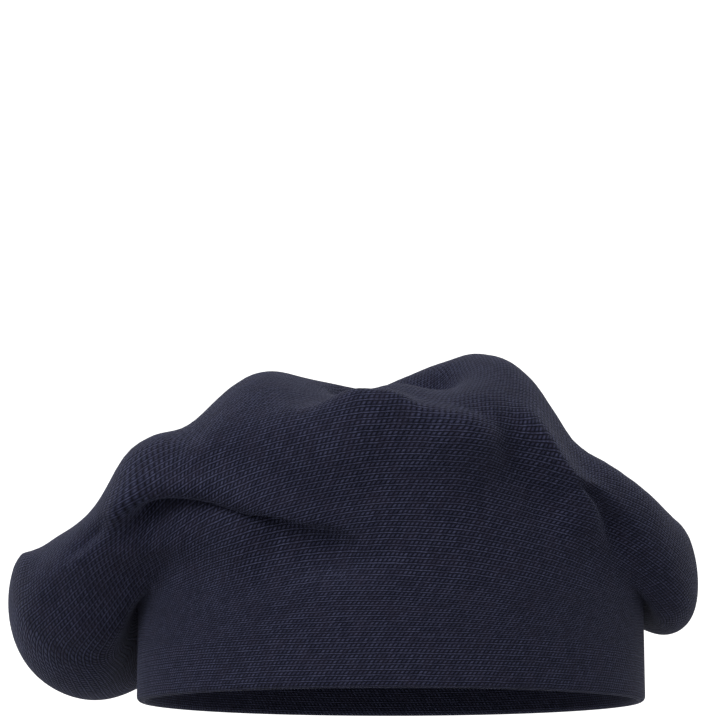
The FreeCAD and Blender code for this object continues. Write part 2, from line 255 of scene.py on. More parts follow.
@dataclass(frozen=True)
class KnitFinish:
    """Fine sideways knit: bands of slanted stitch legs with a thin leg lying between the bands.

    The pitches are in millimetres, the places and reaches of the legs are shares of a band, and each band
    is shifted by a share of a stitch against the one below it. Its colour has painted shade in the gaps
    between the legs and a painted highlight on the legs' tops, over real random tone.
    """

    name: str
    side: Side = Side.FACE
    course_pitch: float = 1.55
    wale_pitch: float = 1.95
    band_shift: float = 0.3
    leg_middle: float = 0.66
    leg_reach: float = 0.285
    leg_slant: float = 0.90
    thin_middle: float = 0.165
    thin_reach: float = 0.15
    # Painted shade and highlight: dark is painted into the gaps between the legs, light onto the legs' tops.
    base: Triple = (0.0158, 0.0172, 0.0385)
    light: Triple = (0.060, 0.0645, 0.122)
    dark: Triple = (0.0017, 0.0019, 0.0054)
    warm: Triple = (0.0235, 0.0190, 0.0350)
    sheen: float = 0.16
    sheen_tint: tuple[float, float, float, float] = (0.50, 0.54, 0.85, 1.0)
    relief: float = 0.45

    def build(self) -> Any:
        """Makes the knit's material from the piece's KnitMap, which is in millimetres.

        Returns:
            The material.
        """
        graph = Graph(self.name)
        along, across = graph.uv("KnitMap")
        wander = graph.noise(graph.vector(along * 0.05, across * 0.05), 1.0, 2.0)
        wander_two = graph.noise(graph.vector(along * 0.35, across * 0.35, 7.0), 1.0, 1.0)
        wale = across / self.wale_pitch + (wander - 0.5) * 0.35 + (wander_two - 0.5) * 0.16
        band = wale.floor()
        up = wale - band
        shifted = along / self.course_pitch + band * self.band_shift
        course = shifted + (wander - 0.5) * 0.5 + (wander_two - 0.5) * 0.3
        legs, thin, stitch = self._legs(graph, course, up)
        height = legs.at_least(thin)
        own = graph.node("ShaderNodeTexWhiteNoise", {"noise_dimensions": "2D"},
                         {"Vector": graph.vector(stitch.floor(), band)})
        fibre = graph.noise(graph.vector(along * 2.4, across * 2.4), 1.0, 3.0, 0.65)
        fluff = graph.noise(graph.vector(along * 0.8, across * 1.3, 3.0), 1.0, 3.0, 0.6)
        # Painted shade in the gaps and painted highlight on the legs' tops: the tone follows the legs'
        # height.
        tone = height * (own * 0.28 + 0.76) + (fibre - 0.5) * 0.62 + (fluff - 0.5) * 0.20
        low = graph.mix(graph.step(tone, 0.0, 0.58), (*self.dark, 1.0), (*self.base, 1.0))
        colour = graph.mix(graph.step(tone, 0.50, 1.12), low, (*self.light, 1.0))
        heather = graph.noise(graph.vector(along * 0.16, across * 0.16, 11.0), 1.0, 3.0, 0.6)
        colour = graph.mix(graph.step(heather, 0.40, 0.72) * 0.28, colour, (*self.warm, 1.0))
        relief = height + (fibre - 0.5) * 0.30
        normal = graph.bump(relief, self.relief * MM)
        graph.feed(
            {"Base Color": colour, "Normal": normal},
            {"Roughness": 0.92, "Specular IOR Level": 0.15, "Sheen Weight": self.sheen,
             "Sheen Roughness": 0.30, "Sheen Tint": self.sheen_tint},
        )
        return graph.material

    def _legs(self, graph: Graph, course: Wire, up: Wire) -> tuple[Wire, Wire, Wire]:
        """Heights of the slanted legs and of the thin leg.

        Args:
            graph: The material's graph.
            course: Place along the band, in stitches.
            up: Place across the band, from 0 to 1.

        Returns:
            (slanted legs, thin leg, place along the band in slanted stitches).
        """
        if self.side is Side.BACK:
            loops = (course.fraction() * math.pi).sine()
            arc = (up - 0.5).absolute() * 2.0
            return loops * (1.0 - arc * arc * 0.8), (1.0 - arc) * 0.6, course
        slanted = course - (up - self.leg_middle) * self.leg_slant
        across = (slanted.fraction() * math.pi).sine().power(0.8)
        reach = (up - self.leg_middle) / self.leg_reach
        legs = across * (1.0 - reach * reach).at_least(0.0).power(0.4) * 0.92
        beat = (course * (2.0 * math.pi)).sine() * 0.14 + 0.94
        rise = (up - self.thin_middle) / self.thin_reach
        thin = (1.0 - rise * rise).at_least(0.0).power(0.5) * beat
        return legs, thin, slanted


@dataclass(frozen=True)
class StrandFinish:
    """Thread, yarn or cord: fine twisted fibres with a soft dull surface."""

    name: str
    dark: Triple
    light: Triple
    twist: float = 900.0
    roughness: float = 0.8
    relief: float = 0.12

    def build(self) -> Any:
        """Makes the strand's material.

        Returns:
            The material.
        """
        graph = Graph(self.name)
        place, x, y, z = graph.place()
        ply = ((x + y * 0.8 + z * 1.1) * (self.twist * 2.0 * math.pi)).sine() * 0.5 + 0.5
        fibre = graph.noise(place, 5200.0, 3.0, 0.7)
        tone = ply * 0.6 + fibre * 0.6
        colour = graph.mix(graph.step(tone, 0.15, 1.0), (*self.dark, 1.0), (*self.light, 1.0))
        normal = graph.bump(tone, self.relief * MM)
        graph.feed({"Base Color": colour, "Normal": normal},
                   {"Roughness": self.roughness, "Specular IOR Level": 0.25, "Sheen Weight": 0.1})
        return graph.material


@dataclass(frozen=True)
class WovenFinish:
    """Plain-woven narrow cloth: crossing threads at a fine pitch, ribbed for elastic tape."""

    name: str
    dark: Triple
    light: Triple
    thread_pitch: float = 0.32
    relief: float = 0.06

    def build(self) -> Any:
        """Makes the cloth's material.

        Returns:
            The material.
        """
        graph = Graph(self.name)
        place, x, y, z = graph.place()
        pace = math.pi / (self.thread_pitch * MM)
        warp = ((y + x * 0.35) * pace).sine()
        weft = (z * pace).sine()
        weave = (warp * weft) * 0.5 + 0.5
        fibre = graph.noise(place, 4200.0, 3.0, 0.65)
        wear = graph.noise(place, 140.0, 3.0, 0.6)
        tone = weave * 0.55 + fibre * 0.35 + wear * 0.25
        colour = graph.mix(graph.step(tone, 0.2, 0.95), (*self.dark, 1.0), (*self.light, 1.0))
        normal = graph.bump(weave + fibre * 0.4, self.relief * MM)
        graph.feed({"Base Color": colour, "Normal": normal},
                   {"Roughness": 0.7, "Specular IOR Level": 0.3, "Sheen Weight": 0.08})
        return graph.material


# ---------------------------------------------------------------- the worn form


def bell(azimuth: np.ndarray, centre: float, half_width: float) -> np.ndarray:
    """Smooth bump of height 1 round the head.

    Args:
        azimuth: Degrees round the head.
        centre: Degrees at the bump's top.
        half_width: Degrees from its top to where it ends.

    Returns:
        The bump's height at each azimuth.
    """
    away = np.abs((azimuth - centre + 180.0) % 360.0 - 180.0)
    return np.where(away < half_width, 0.5 * (1.0 + np.cos(math.pi * away / half_width)), 0.0)


def smooth_step(share: Union[np.ndarray, float]) -> Any:
    """Smooth rise from 0 at 0 to 1 at 1.

    Args:
        share: Where on the rise.

    Returns:
        The height there, 0 before the rise and 1 after it.
    """
    share = np.clip(share, 0.0, 1.0)
    return share * share * (3.0 - 2.0 * share)


@dataclass(frozen=True)
class Fold:
    """A broad swell or hollow of the bag.

    It stands at an azimuth in degrees and at a share of the way up the bag, and moves the knit out and up
    in millimetres.
    """

    azimuth: float
    half_width: float
    middle: float
    half_height: float
    out: float
    up: float


@dataclass
class WornForm:
    """The outside of the knit as the CAD model has it, in millimetres."""

    head_length: float = 188.0
    head_breadth: float = 164.0
    brim_thickness: float = 4.0
    brim_height: float = 40.0
    front_overhang: float = 22.0
    right_overhang: float = 5.0
    left_overhang: float = 26.0
    nape_overhang: float = 48.0
    nape_azimuth: float = 172.0
    nape_underside: float = 3.0
    front_underside: float = 20.0
    left_underside: float = 26.0
    bag_height: float = 119.0
    centre_dip: float = 14.0
    centre: Pair = (-6.0, 8.0)
    hole_radius: float = 3.2
    columns: int = 36
    brim_spans: int = 4
    folds: tuple[Fold, ...] = (
        Fold(-52.0, 29.0, 0.72, 0.34, 3.0, 14.0),
        Fold(-122.0, 36.0, 0.72, 0.30, 1.0, 7.0),
        Fold(-90.0, 24.0, 0.70, 0.30, -3.0, -3.0),
        Fold(-12.0, 34.0, 0.55, 0.26, -2.0, -7.0),
        Fold(-164.0, 38.0, 0.58, 0.26, -3.0, -6.0),
        Fold(150.0, 40.0, 0.62, 0.30, 0.0, -6.0),
        Fold(60.0, 36.0, 0.62, 0.30, 2.0, 2.0),
    )

    def _oval(self, azimuth: np.ndarray, outset: Any, share: float = 1.0) -> np.ndarray:
        """Points of the brim's outside oval.

        Args:
            azimuth: Degrees round the head.
            outset: How far they are moved out.
            share: What they are then scaled by.

        Returns:
            The points, at height 0.
        """
        angle = np.radians(azimuth)
        gain = 6.0 / (4.0 + 2.0 * math.cos(2.0 * math.pi / self.columns))
        x = (self.head_length / 2.0 + self.brim_thickness + outset) * np.cos(angle)
        y = (self.head_breadth / 2.0 + self.brim_thickness + outset) * np.sin(angle)
        return np.stack([x, y, 0.0 * x], 1) * share * gain

    def _overhang(self, azimuth: np.ndarray) -> np.ndarray:
        """Works out how far the bag stands out past the brim.

        Args:
            azimuth: Degrees round the head.

        Returns:
            The overhang at each azimuth.
        """
        reach = self.right_overhang + 0.0 * azimuth
        reach = reach + (self.front_overhang - self.right_overhang) * bell(azimuth, 5.0, 62.0)
        reach = reach + (self.left_overhang - self.right_overhang) * bell(azimuth, 80.0, 80.0)
        return reach + (self.nape_overhang - self.right_overhang) * bell(azimuth, self.nape_azimuth, 72.0)

    def _droop(self, azimuth: np.ndarray) -> np.ndarray:
        """Works out how far the bag's underside hangs below the top of the brim.

        Args:
            azimuth: Degrees round the head.

        Returns:
            The droop at each azimuth.
        """
        fall = (self.brim_height - self.nape_underside) * bell(azimuth, self.nape_azimuth - 6.0, 62.0)
        fall = fall + (self.brim_height - self.front_underside) * bell(azimuth, 4.0, 58.0)
        return fall + (self.brim_height - self.left_underside) * bell(azimuth, 84.0, 60.0)

    def net(self) -> np.ndarray:
        """Control net of the surface.

        Returns:
            An array of columns round the head by rows up the knit by three.
        """
        azimuth = 360.0 * (np.arange(self.columns) - 1.0) / self.columns
        span = self.brim_height / self.brim_spans
        heights = [0.0, span / 3.0] + [span * row for row in range(1, self.brim_spans + 1)]
        rows = [self._oval(azimuth, 0.0) + np.array([0.0, 0.0, height]) for height in heights]
        out, fall = self._overhang(azimuth), self._droop(azimuth)
        angle = np.radians(azimuth)
        circle = np.stack([np.cos(angle), np.sin(angle), 0.0 * angle], 1)
        rise = self.bag_height - self.brim_height
        middle = rise - self.centre_dip
        slope, rim = middle + 0.5 * self.centre_dip, middle - 0.1 * self.centre_dip
        plain = smooth_step(1.0 - fall / 16.0)
        # Each row up the bag: its points, its heights where the bag hangs and where it stands, and its
        # share of the droop.
        levels = [
            (self._oval(azimuth, 0.07 * out), 0.10 * rise, 0.12 * rise, 0.62),
            (self._oval(azimuth, 0.20 * out), 0.18 * rise, 0.25 * rise, 1.34),
            (self._oval(azimuth, 0.55 * out), 0.20 * rise, 0.38 * rise, 1.54),
            (self._oval(azimuth, 1.00 * out), 0.22 * rise, 0.51 * rise, 1.30),
            (self._oval(azimuth, 1.14 * out), 0.38 * rise, 0.64 * rise, 0.96),
            (self._oval(azimuth, 1.02 * out), 0.64 * rise, 0.78 * rise, 0.84),
            (self._oval(azimuth, out, 0.87), 0.86 * rise, 0.92 * rise, 0.72),
            (self._oval(azimuth, out, 0.68), rise, rise, 0.50),
            (self._oval(azimuth, out, 0.45), 1.06 * rise, 1.06 * rise, 0.20),
            (self._oval(azimuth, out, 0.22), slope, slope, 0.0),
            (circle * 2.4 * self.hole_radius, middle, middle, 0.0),
            (circle * self.hole_radius, rim, rim, 0.0),
        ]
        for row, (points, hanging, standing, hang) in enumerate(levels):
            height = hanging + (standing - hanging) * plain
            share = row / (len(levels) - 1.0)
            moved = smooth_step((share - 0.2) / 0.6)
            points = points + np.array([self.centre[0], self.centre[1], 0.0]) * moved
            lift = self.brim_height + height - hang * fall
            for fold in self.folds:
                near = np.clip((share - fold.middle) / fold.half_height, -1.0, 1.0)
                weight = bell(azimuth, fold.azimuth, fold.half_width) * 0.5 * (1.0 + math.cos(math.pi * near))
                flat = points[:, :2] / np.linalg.norm(points[:, :2], axis=1)[:, None]
                points[:, :2] += flat * (fold.out * weight)[:, None]
                lift = lift + fold.up * weight
            points[:, 2] += lift
            rows.append(points)
        return np.stack(rows, 1)


def clamped_basis(places: np.ndarray, poles: int) -> np.ndarray:
    """Cubic basis of a clamped direction with even knots.

    Args:
        places: Parameters from 0 to poles - 3.
        poles: How many control points the direction has.

    Returns:
        The weight of each pole at each place.
    """
    top = poles - 3
    knots = np.array([0.0] * 3 + list(range(top + 1)) + [float(top)] * 3)
    places = np.clip(places, 0.0, top - 1e-9)
    spans = [(knots[k] <= places) & (places < knots[k + 1]) for k in range(len(knots) - 1)]
    weights = np.array(spans, float).T
    for degree in range(1, 4):
        lifted = np.zeros((len(places), weights.shape[1] - 1))
        for k in range(weights.shape[1] - 1):
            left, right = knots[k + degree] - knots[k], knots[k + degree + 1] - knots[k + 1]
            if left > 0.0:
                lifted[:, k] += (places - knots[k]) / left * weights[:, k]
            if right > 0.0:
                lifted[:, k] += (knots[k + degree + 1] - places) / right * weights[:, k + 1]
        weights = lifted
    return weights


def round_basis(places: np.ndarray, poles: int) -> np.ndarray:
    """Cubic basis of a periodic direction with even knots.

    Args:
        places: Parameters from 0 to poles.
        poles: How many control points the direction has.

    Returns:
        The weight of each pole at each place.
    """
    weights = np.zeros((len(places), poles))
    whole = np.floor(places).astype(int)
    t = places - whole
    shares = [(1 - t) ** 3 / 6, (3 * t ** 3 - 6 * t ** 2 + 4) / 6,
              (-3 * t ** 3 + 3 * t ** 2 + 3 * t + 1) / 6, t ** 3 / 6]
    for step, share in enumerate(shares):
        np.add.at(weights, (np.arange(len(places)), (whole + step) % poles), share)
    return weights


@dataclass(frozen=True)
class SideView:
    """Where the knit's points seem to stand, seen from the right-hand side, in millimetres."""

    away: float = 1052.0
    x: float = -11.9
    z: float = -68.0

    def seen(self, points: np.ndarray) -> np.ndarray:
        """Works out where points seem to stand.

        Args:
            points: Points in millimetres.

        Returns:
            Their apparent x and z, measured in the plane of the head's middle.
        """
        gain = self.away / (self.away + points[..., 1])
        across = (points[..., 0] - self.x) * gain + self.x
        return np.stack([across, (points[..., 2] - self.z) * gain + self.z], -1)

    def sight(self, points: np.ndarray) -> np.ndarray:
        """Works out the lines of sight to points.

        Args:
            points: Points in millimetres.

        Returns:
            A unit direction for each.
        """
        lines = points - np.array([self.x, -self.away, self.z])
        return lines / np.linalg.norm(lines, axis=-1, keepdims=True)


class Face(Enum):
    """Which way a stroke's points are laid onto the knit."""

    RIGHT = "right"
    TOP = "top"


@dataclass(frozen=True)
class Stroke:
    """A fold or a crease drawn along a line on the knit, in millimetres.

    The line's points are (x, z) as seen from the right-hand side, or (x, y) on the top. The knit moves out
    along its normals by "out" and by "shift", less and less within "width" of the line, and fades in and
    out over the shares of the line's length in "taper".
    """

    name: str
    face: Face
    line: tuple[Pair, ...]
    width: float
    out: float
    shift: Triple = (0.0, 0.0, 0.0)
    taper: Pair = (0.25, 0.25)


@dataclass
class KnitSurface:
    """The sculpted outside of the knit on an even grid, in millimetres.

    The outline holds (x, z) of the roof's edge as seen from the side, and the slants hold (x, z, degrees) of
    the bands of stitches there, measured up from level. A slant is heeded within slant_reach, and fully
    where the knit faces the side. The stretch is how many millimetres of worn knit one flat millimetre
    covers, and hold is how strongly neighbouring stitches stay together.
    """

    form: WornForm = field(default_factory=WornForm)
    across: int = 320
    brim_rows: int = 20
    bag_rows: int = 132
    strokes: tuple[Stroke, ...] = ()
    outline: tuple[Pair, ...] = ()
    slants: tuple[tuple[float, float, float], ...] = ()
    view: SideView = SideView()
    stretch: float = 1.15
    hold: float = 0.12
    most_passes: int = 1100
    slant_reach: float = 11.0
    least_facing: float = 0.12
    facing_ramp: float = 0.48
    nearness: float = 0.45
    line_step: float = 3.0
    line_catch: float = 3.5
    line_passes: int = 18
    rounding: int = 14
    outline_passes: int = 3
    outline_smoothing: int = 3
    outline_step: float = 3.0
    outline_ramp: float = 14.0
    outline_depth: float = 42.0
    outline_core: float = 4.0
    pleats: int = 16
    pleat_height: float = 0.75

    def __post_init__(self) -> None:
        """Evaluates the worn form and lays the strokes on it."""
        net = self.form.net()
        self.top = float(net.shape[1] - 3)
        brim = np.linspace(0.0, self.form.brim_spans, self.brim_rows + 1)[:-1]
        bag = np.linspace(self.form.brim_spans, self.top, self.bag_rows)
        self.v = np.concatenate([brim, bag])
        self.azimuth = 360.0 * np.arange(self.across) / self.across
        round_head = round_basis(self.azimuth / 360.0 * self.form.columns, self.form.columns)
        self.points = np.einsum("ia,jb,abk->ijk", round_head, clamped_basis(self.v, net.shape[1]), net)
        self.climb = self._climb(-90.0)
        for stroke in self.strokes:
            self._lay(stroke)
        self._relax()
        for _ in range(self.outline_passes):
            self._settle_outline()
        self._gather_centre()
        self.normals = self._normals()
        self.rise_shift, self.run_shift = self._turn_stitches()

    def _climb(self, azimuth: float) -> np.ndarray:
        """Measures the way up the knit from the brim's edge.

        Args:
            azimuth: Degrees round the head where it is measured.

        Returns:
            The distance at each row.
        """
        column = int(round(azimuth % 360.0 / 360.0 * self.across)) % self.across
        steps = np.linalg.norm(np.diff(self.points[column], axis=0), axis=1)
        return np.concatenate([[0.0], np.cumsum(steps)])

    def _normals(self) -> np.ndarray:
        """Works out the grid's normals.

        Returns:
            An outward unit normal for each point.
        """
        ahead = np.roll(self.points, -1, 0) - np.roll(self.points, 1, 0)
        up = np.gradient(self.points, axis=1)
        normals = np.cross(ahead, up)
        return normals / np.maximum(np.linalg.norm(normals, axis=2, keepdims=True), 1e-9)

    def _snap(self, stroke: Stroke) -> np.ndarray:
        """Lays a stroke's line onto the knit.

        Args:
            stroke: The stroke.

        Returns:
            Points along the nearest knit that is seen from the stroke's face.
        """
        dense: list[np.ndarray] = []
        line = np.array(stroke.line)
        for start, end in zip(line, line[1:]):
            count = max(2, int(np.linalg.norm(end - start) / self.line_step))
            dense += [start + (end - start) * step / count for step in range(count)]
        dense.append(line[-1])
        flat = self.points.reshape(-1, 3)
        seen, depth = {
            Face.RIGHT: (self.view.seen(flat), flat[:, 1]),
            Face.TOP: (flat[:, (0, 1)], -flat[:, 2]),
        }[stroke.face]
        laid = []
        for point in dense:
            away = np.linalg.norm(seen - point, axis=1)
            laid.append(flat[np.argmin(np.where(away < self.line_catch, depth, 1000.0 + away))])
        laid_line = np.array(laid)
        for _ in range(self.line_passes):
            laid_line[1:-1] = (laid_line[:-2] + 2.0 * laid_line[1:-1] + laid_line[2:]) / 4.0
        return laid_line

    def _lay(self, stroke: Stroke) -> None:
        """Moves the knit round a stroke's line out along its normals and by the stroke's shift.

        Args:
            stroke: The stroke.
        """
        line = self._snap(stroke)
        normals = self._normals()
        nearest = np.full(self.points.shape[:2], 1e9)
        place = np.zeros(self.points.shape[:2])
        for index, (start, end) in enumerate(zip(line, line[1:])):
            run = end - start
            share = np.clip(((self.points - start) @ run) / max(run @ run, 1e-9), 0.0, 1.0)
            away = np.linalg.norm(self.points - start - share[..., None] * run, axis=2)
            closer = away < nearest
            nearest = np.where(closer, away, nearest)
            place = np.where(closer, (index + share) / (len(line) - 1.0), place)
        weight = np.exp(-((nearest / stroke.width) ** 2))
        head, tail = stroke.taper
        if head > 0.0:
            weight *= smooth_step(place / head)
        if tail > 0.0:
            weight *= smooth_step((1.0 - place) / tail)
        brim_free = smooth_step((self.points[..., 2] - 14.0) / 30.0)
        away_from_wall = smooth_step((self.v - self.form.brim_spans * 0.5)[None, :] / 2.0)
        weight = weight * np.maximum(brim_free, 0.0) ** 0.5 * away_from_wall
        self.points = self.points + weight[..., None] * (normals * stroke.out + np.array(stroke.shift))

    def _settle_outline(self) -> None:
        """Lowers or lifts the roof so that its outline from the side follows the outline asked for."""
        if not self.outline:
            return
        seen = self.view.seen(self.points)
        ask = np.array(self.outline)
        slots = np.arange(ask[0, 0], ask[-1, 0] + 1.0, self.outline_step)
        beside = [np.abs(seen[..., 0] - slot) < self.outline_step for slot in slots]
        tops = np.array([seen[..., 1][close].max() for close in beside])
        wished = np.interp(slots, ask[:, 0], ask[:, 1])
        for _ in range(self.outline_smoothing):
            wished[1:-1] = (wished[:-2] + 2.0 * wished[1:-1] + wished[2:]) / 4.0
        change = wished - tops
        change = np.convolve(np.pad(change, 2, mode="edge"), [0.1, 0.2, 0.4, 0.2, 0.1], mode="valid")
        ends = smooth_step((slots - slots[0]) / self.outline_ramp)
        ends = ends * smooth_step((slots[-1] - slots) / self.outline_ramp)
        by = np.interp(seen[..., 0], slots, change * ends)
        top = np.interp(seen[..., 0], slots, tops)
        below = seen[..., 1] - top + self.outline_depth
        share = smooth_step(below / (self.outline_depth - self.outline_core))
        self.points[..., 2] += by * share * smooth_step((self.v - 5.0) / 2.0)[None, :]

    def _relax(self) -> None:
        """Rounds off what the strokes left sharp, above the brim."""
        free = smooth_step((self.v - self.form.brim_spans) / 2.0)[None, 1:-1, None]
        for _ in range(self.rounding):
            beside = (np.roll(self.points, 1, 0) + np.roll(self.points, -1, 0)) / 2.0
            up = (self.points[:, 2:] + self.points[:, :-2]) / 2.0
            middle = (beside[:, 1:-1] + up) / 2.0
            self.points[:, 1:-1] += 0.5 * free * (middle - self.points[:, 1:-1])

    def _gather_centre(self) -> None:
        """Presses small radial pleats into the roof where the cord draws it up."""
        centre = self.points[:, -1].mean(0)
        away = np.linalg.norm(self.points[..., :2] - centre[:2], axis=-1)
        reach = smooth_step((away - 2.5) / 3.0) * smooth_step((30.0 - away) / 24.0)
        turn = np.radians(self.azimuth)[:, None]
        pleats = np.cos(self.pleats * turn + 0.5 * np.sin(3.0 * turn)) * self.pleat_height
        pleats = pleats + 0.35 * np.cos(9.0 * turn + 1.0)
        self.points[..., 2] += pleats * reach * smooth_step((self.v - self.top + 5.0) / 2.0)[None, :]

    def _turn_stitches(self) -> tuple[np.ndarray, np.ndarray]:
        """Works out how far the stitches slide so that their bands follow the slants asked for.

        Returns:
            Millimetres to add up the knit and along it, for every point of the grid.
        """
        flat = np.zeros(self.points.shape[:2])
        if not self.slants:
            return flat, flat.copy()
        seen, sight = self.view.seen(self.points), self.view.sight(self.points)
        facing = -(sight * self.normals).sum(-1)
        turn, near = np.zeros(flat.shape + (2,)), flat.copy()
        for x, z, degrees in self.slants:
            away = (seen[..., 0] - x) ** 2 + (seen[..., 1] - z) ** 2
            pull = np.exp(-away / (2.0 * self.slant_reach ** 2))
            slant = math.radians(degrees)
            turn += pull[..., None] * np.array([math.cos(slant), math.sin(slant)])
            near += pull
        turn /= np.maximum(np.linalg.norm(turn, axis=-1, keepdims=True), 1e-9)
        trust = smooth_step((facing - self.least_facing) / self.facing_ramp)
        trust = trust * smooth_step(near / self.nearness)
        trust = trust * smooth_step((self.v - 2.5) / 1.5)[None, :]
        along = np.stack([turn[..., 0], flat, turn[..., 1]], -1)
        along += sight * ((along * self.normals).sum(-1) / np.maximum(facing, 0.15))[..., None]
        along /= np.maximum(np.linalg.norm(along, axis=-1, keepdims=True), 1e-9)
        ahead = np.roll(self.points, -1, 0) - self.points
        level = ahead / np.maximum(np.linalg.norm(ahead, axis=-1, keepdims=True), 1e-9)
        along = along * trust[..., None] + level * (1.0 - trust[..., None])
        along /= np.maximum(np.linalg.norm(along, axis=-1, keepdims=True), 1e-9)
        upward = np.cross(self.normals, along)
        above = np.diff(self.points, axis=1, append=self.points[:, -1:])
        above[:, -1] = above[:, -2]
        girth = np.linalg.norm(ahead, axis=2).sum(0)
        reach = np.broadcast_to(np.minimum(girth, girth[0]) / self.across, flat.shape)
        rise = np.broadcast_to(np.diff(self.climb, append=self.climb[-1] + 1.0), flat.shape)
        band_shares, row_shares = self._shares(along, ahead, above), self._shares(upward, ahead, above)
        slack = 1.0 / self.stretch
        even = np.maximum(0.9 - 0.5 * trust, trust) * smooth_step((self.v - 3.2) / 1.8)[None, :]
        level_bands = (band_shares, trust, -band_shares[1] * rise)
        even_rows = (row_shares, even, slack - row_shares[1] * rise)
        even_stitches = (band_shares, np.maximum(trust, 0.45 * even), 1.0 - band_shares[0] * reach)
        square_stitches = (row_shares, 0.06 * trust, -row_shares[0] * reach)
        rows_up = self._settle((level_bands, even_rows), ahead, above)
        return rows_up, self._settle((even_stitches, square_stitches), ahead, above)

    @staticmethod
    def _shares(direction: np.ndarray, ahead: np.ndarray, above: np.ndarray) -> tuple[np.ndarray, np.ndarray]:
        """Splits a direction into the grid's steps.

        Args:
            direction: Unit directions on the surface.
            ahead: Steps to the next column of the grid.
            above: Steps to the next row of the grid.

        Returns:
            How much of a step ahead and of a step above makes one millimetre along the direction.
        """
        one, two, both = (ahead ** 2).sum(-1), (above ** 2).sum(-1), (ahead * above).sum(-1)
        spread = np.maximum(one * two - both ** 2, 0.04 * one * two + 1e-9)
        first, second = (direction * ahead).sum(-1), (direction * above).sum(-1)
        return (two * first - both * second) / spread, (one * second - both * first) / spread

    def _settle(self, wishes: Sequence[tuple[tuple[np.ndarray, np.ndarray], np.ndarray, np.ndarray]],
                ahead: np.ndarray, above: np.ndarray) -> np.ndarray:
        """Finds the field whose slopes come nearest to the slopes wished for and change little elsewhere.

        Args:
            wishes: (shares of the two grid steps, weight, slope wished for) of each kind of slope.
            ahead: Steps to the next column of the grid.
            above: Steps to the next row of the grid.

        Returns:
            The field, close to zero on the brim.
        """
        held = self.hold / np.maximum((ahead ** 2).sum(-1), 0.2)
        raised = self.hold / np.maximum((above ** 2).sum(-1), 0.2)
        fixed = 0.0004 + 2.0 * (self.v < 2.0)[None, :]

        def gather(ahead_pull: np.ndarray, above_pull: np.ndarray) -> np.ndarray:
            """Sums pulls on the grid's steps back onto its points.

            Args:
                ahead_pull: Pulls on the steps to the next column.
                above_pull: Pulls on the steps to the next row.

            Returns:
                The sum at each point.
            """
            total = np.roll(ahead_pull, 1, 0) - ahead_pull
            total[:, 1:] += above_pull[:, :-1]
            total[:, :-1] -= above_pull[:, :-1]
            return total

        def steps(values: np.ndarray) -> tuple[np.ndarray, np.ndarray]:
            """Differences to the next column and to the next row."""
            return np.roll(values, -1, 0) - values, np.diff(values, axis=1, append=values[:, -1:])

        def apply(values: np.ndarray) -> np.ndarray:
            """Works out the normal equations' left-hand side.

            Args:
                values: The field.

            Returns:
                Its value at each point.
            """
            on, over = steps(values)
            on_pull, over_pull = held * on, raised * over
            for (first, second), weight, _ in wishes:
                slope = weight * (first * on + second * over)
                on_pull, over_pull = on_pull + first * slope, over_pull + second * slope
            return gather(on_pull, over_pull) + fixed * values

        goal = np.zeros(self.points.shape[:2])
        for (first, second), weight, wish in wishes:
            goal = goal + gather(first * weight * wish, second * weight * wish)
        found = np.zeros_like(goal)
        rest = goal.copy()
        heading = rest.copy()
        size = (rest * rest).sum()
        for _ in range(self.most_passes):
            moved = apply(heading)
            step = size / max((heading * moved).sum(), 1e-12)
            found += step * heading
            rest -= step * moved
            after = (rest * rest).sum()
            if after < 1e-8 * (goal * goal).sum():
                break
            heading = rest + heading * (after / size)
            size = after
        return found

    def place(self, azimuth: float, v: float, depth: float) -> np.ndarray:
        """Point at a depth under the outside of the knit.

        Args:
            azimuth: Degrees round the head from the forehead.
            v: Place up the knit, 0 at the brim's edge.
            depth: Millimetres under the outside.

        Returns:
            The point in millimetres.
        """
        u = azimuth % 360.0 / 360.0 * self.across
        row = float(np.interp(v, self.v, np.arange(len(self.v))))
        i, j = int(u) % self.across, min(int(row), len(self.v) - 2)
        a, b = u - int(u), row - j
        k = (i + 1) % self.across
        grid = self.points - self.normals * depth
        low = grid[i, j] * (1 - a) + grid[k, j] * a
        high = grid[i, j + 1] * (1 - a) + grid[k, j + 1] * a
        return low * (1 - b) + high * b

    def v_at(self, height: float) -> float:
        """Place up the knit of a height on the brim."""
        return height * self.form.brim_spans / self.form.brim_height


# ---------------------------------------------------------------- mesh helpers


def new_piece(name: str, points: np.ndarray, faces: Iterable[Sequence[int]], material: Any) -> Any:
    """Makes an object from points in millimetres.

    Args:
        name: The object's name.
        points: Points in millimetres.
        faces: Vertex numbers of each face, facing outwards.
        material: Its material.

    Returns:
        The object, at the origin.
    """
    mesh = bpy.data.meshes.new(name)
    mesh.from_pydata((points * MM).tolist(), [], [list(face) for face in faces])
    mesh.materials.append(material)
    mesh.polygons.foreach_set("use_smooth", [True] * len(mesh.polygons))
    mesh.update()
    piece = bpy.data.objects.new(name, mesh)
    bpy.context.scene.collection.objects.link(piece)
    return piece


def add_map(piece: Any, name: str, corners: np.ndarray) -> None:
    """Adds a UV map.

    Args:
        piece: The object.
        name: The map's name.
        corners: Two values for each corner of each face, in order.
    """
    layer = piece.data.uv_layers.new(name=name)
    layer.data.foreach_set("uv", corners.astype(np.float32).ravel())


def ring_faces(columns: int, rows: int) -> list[tuple[int, int, int, int]]:
    """Faces of a grid that closes both round the head and round its section.

    Args:
        columns: Columns round the head.
        rows: Rows of the section.

    Returns:
        Four vertex numbers for each face.
    """
    faces = []
    for i in range(columns):
        k = (i + 1) % columns
        for j in range(rows):
            m = (j + 1) % rows
            faces.append((i * rows + j, k * rows + j, k * rows + m, i * rows + m))
    return faces


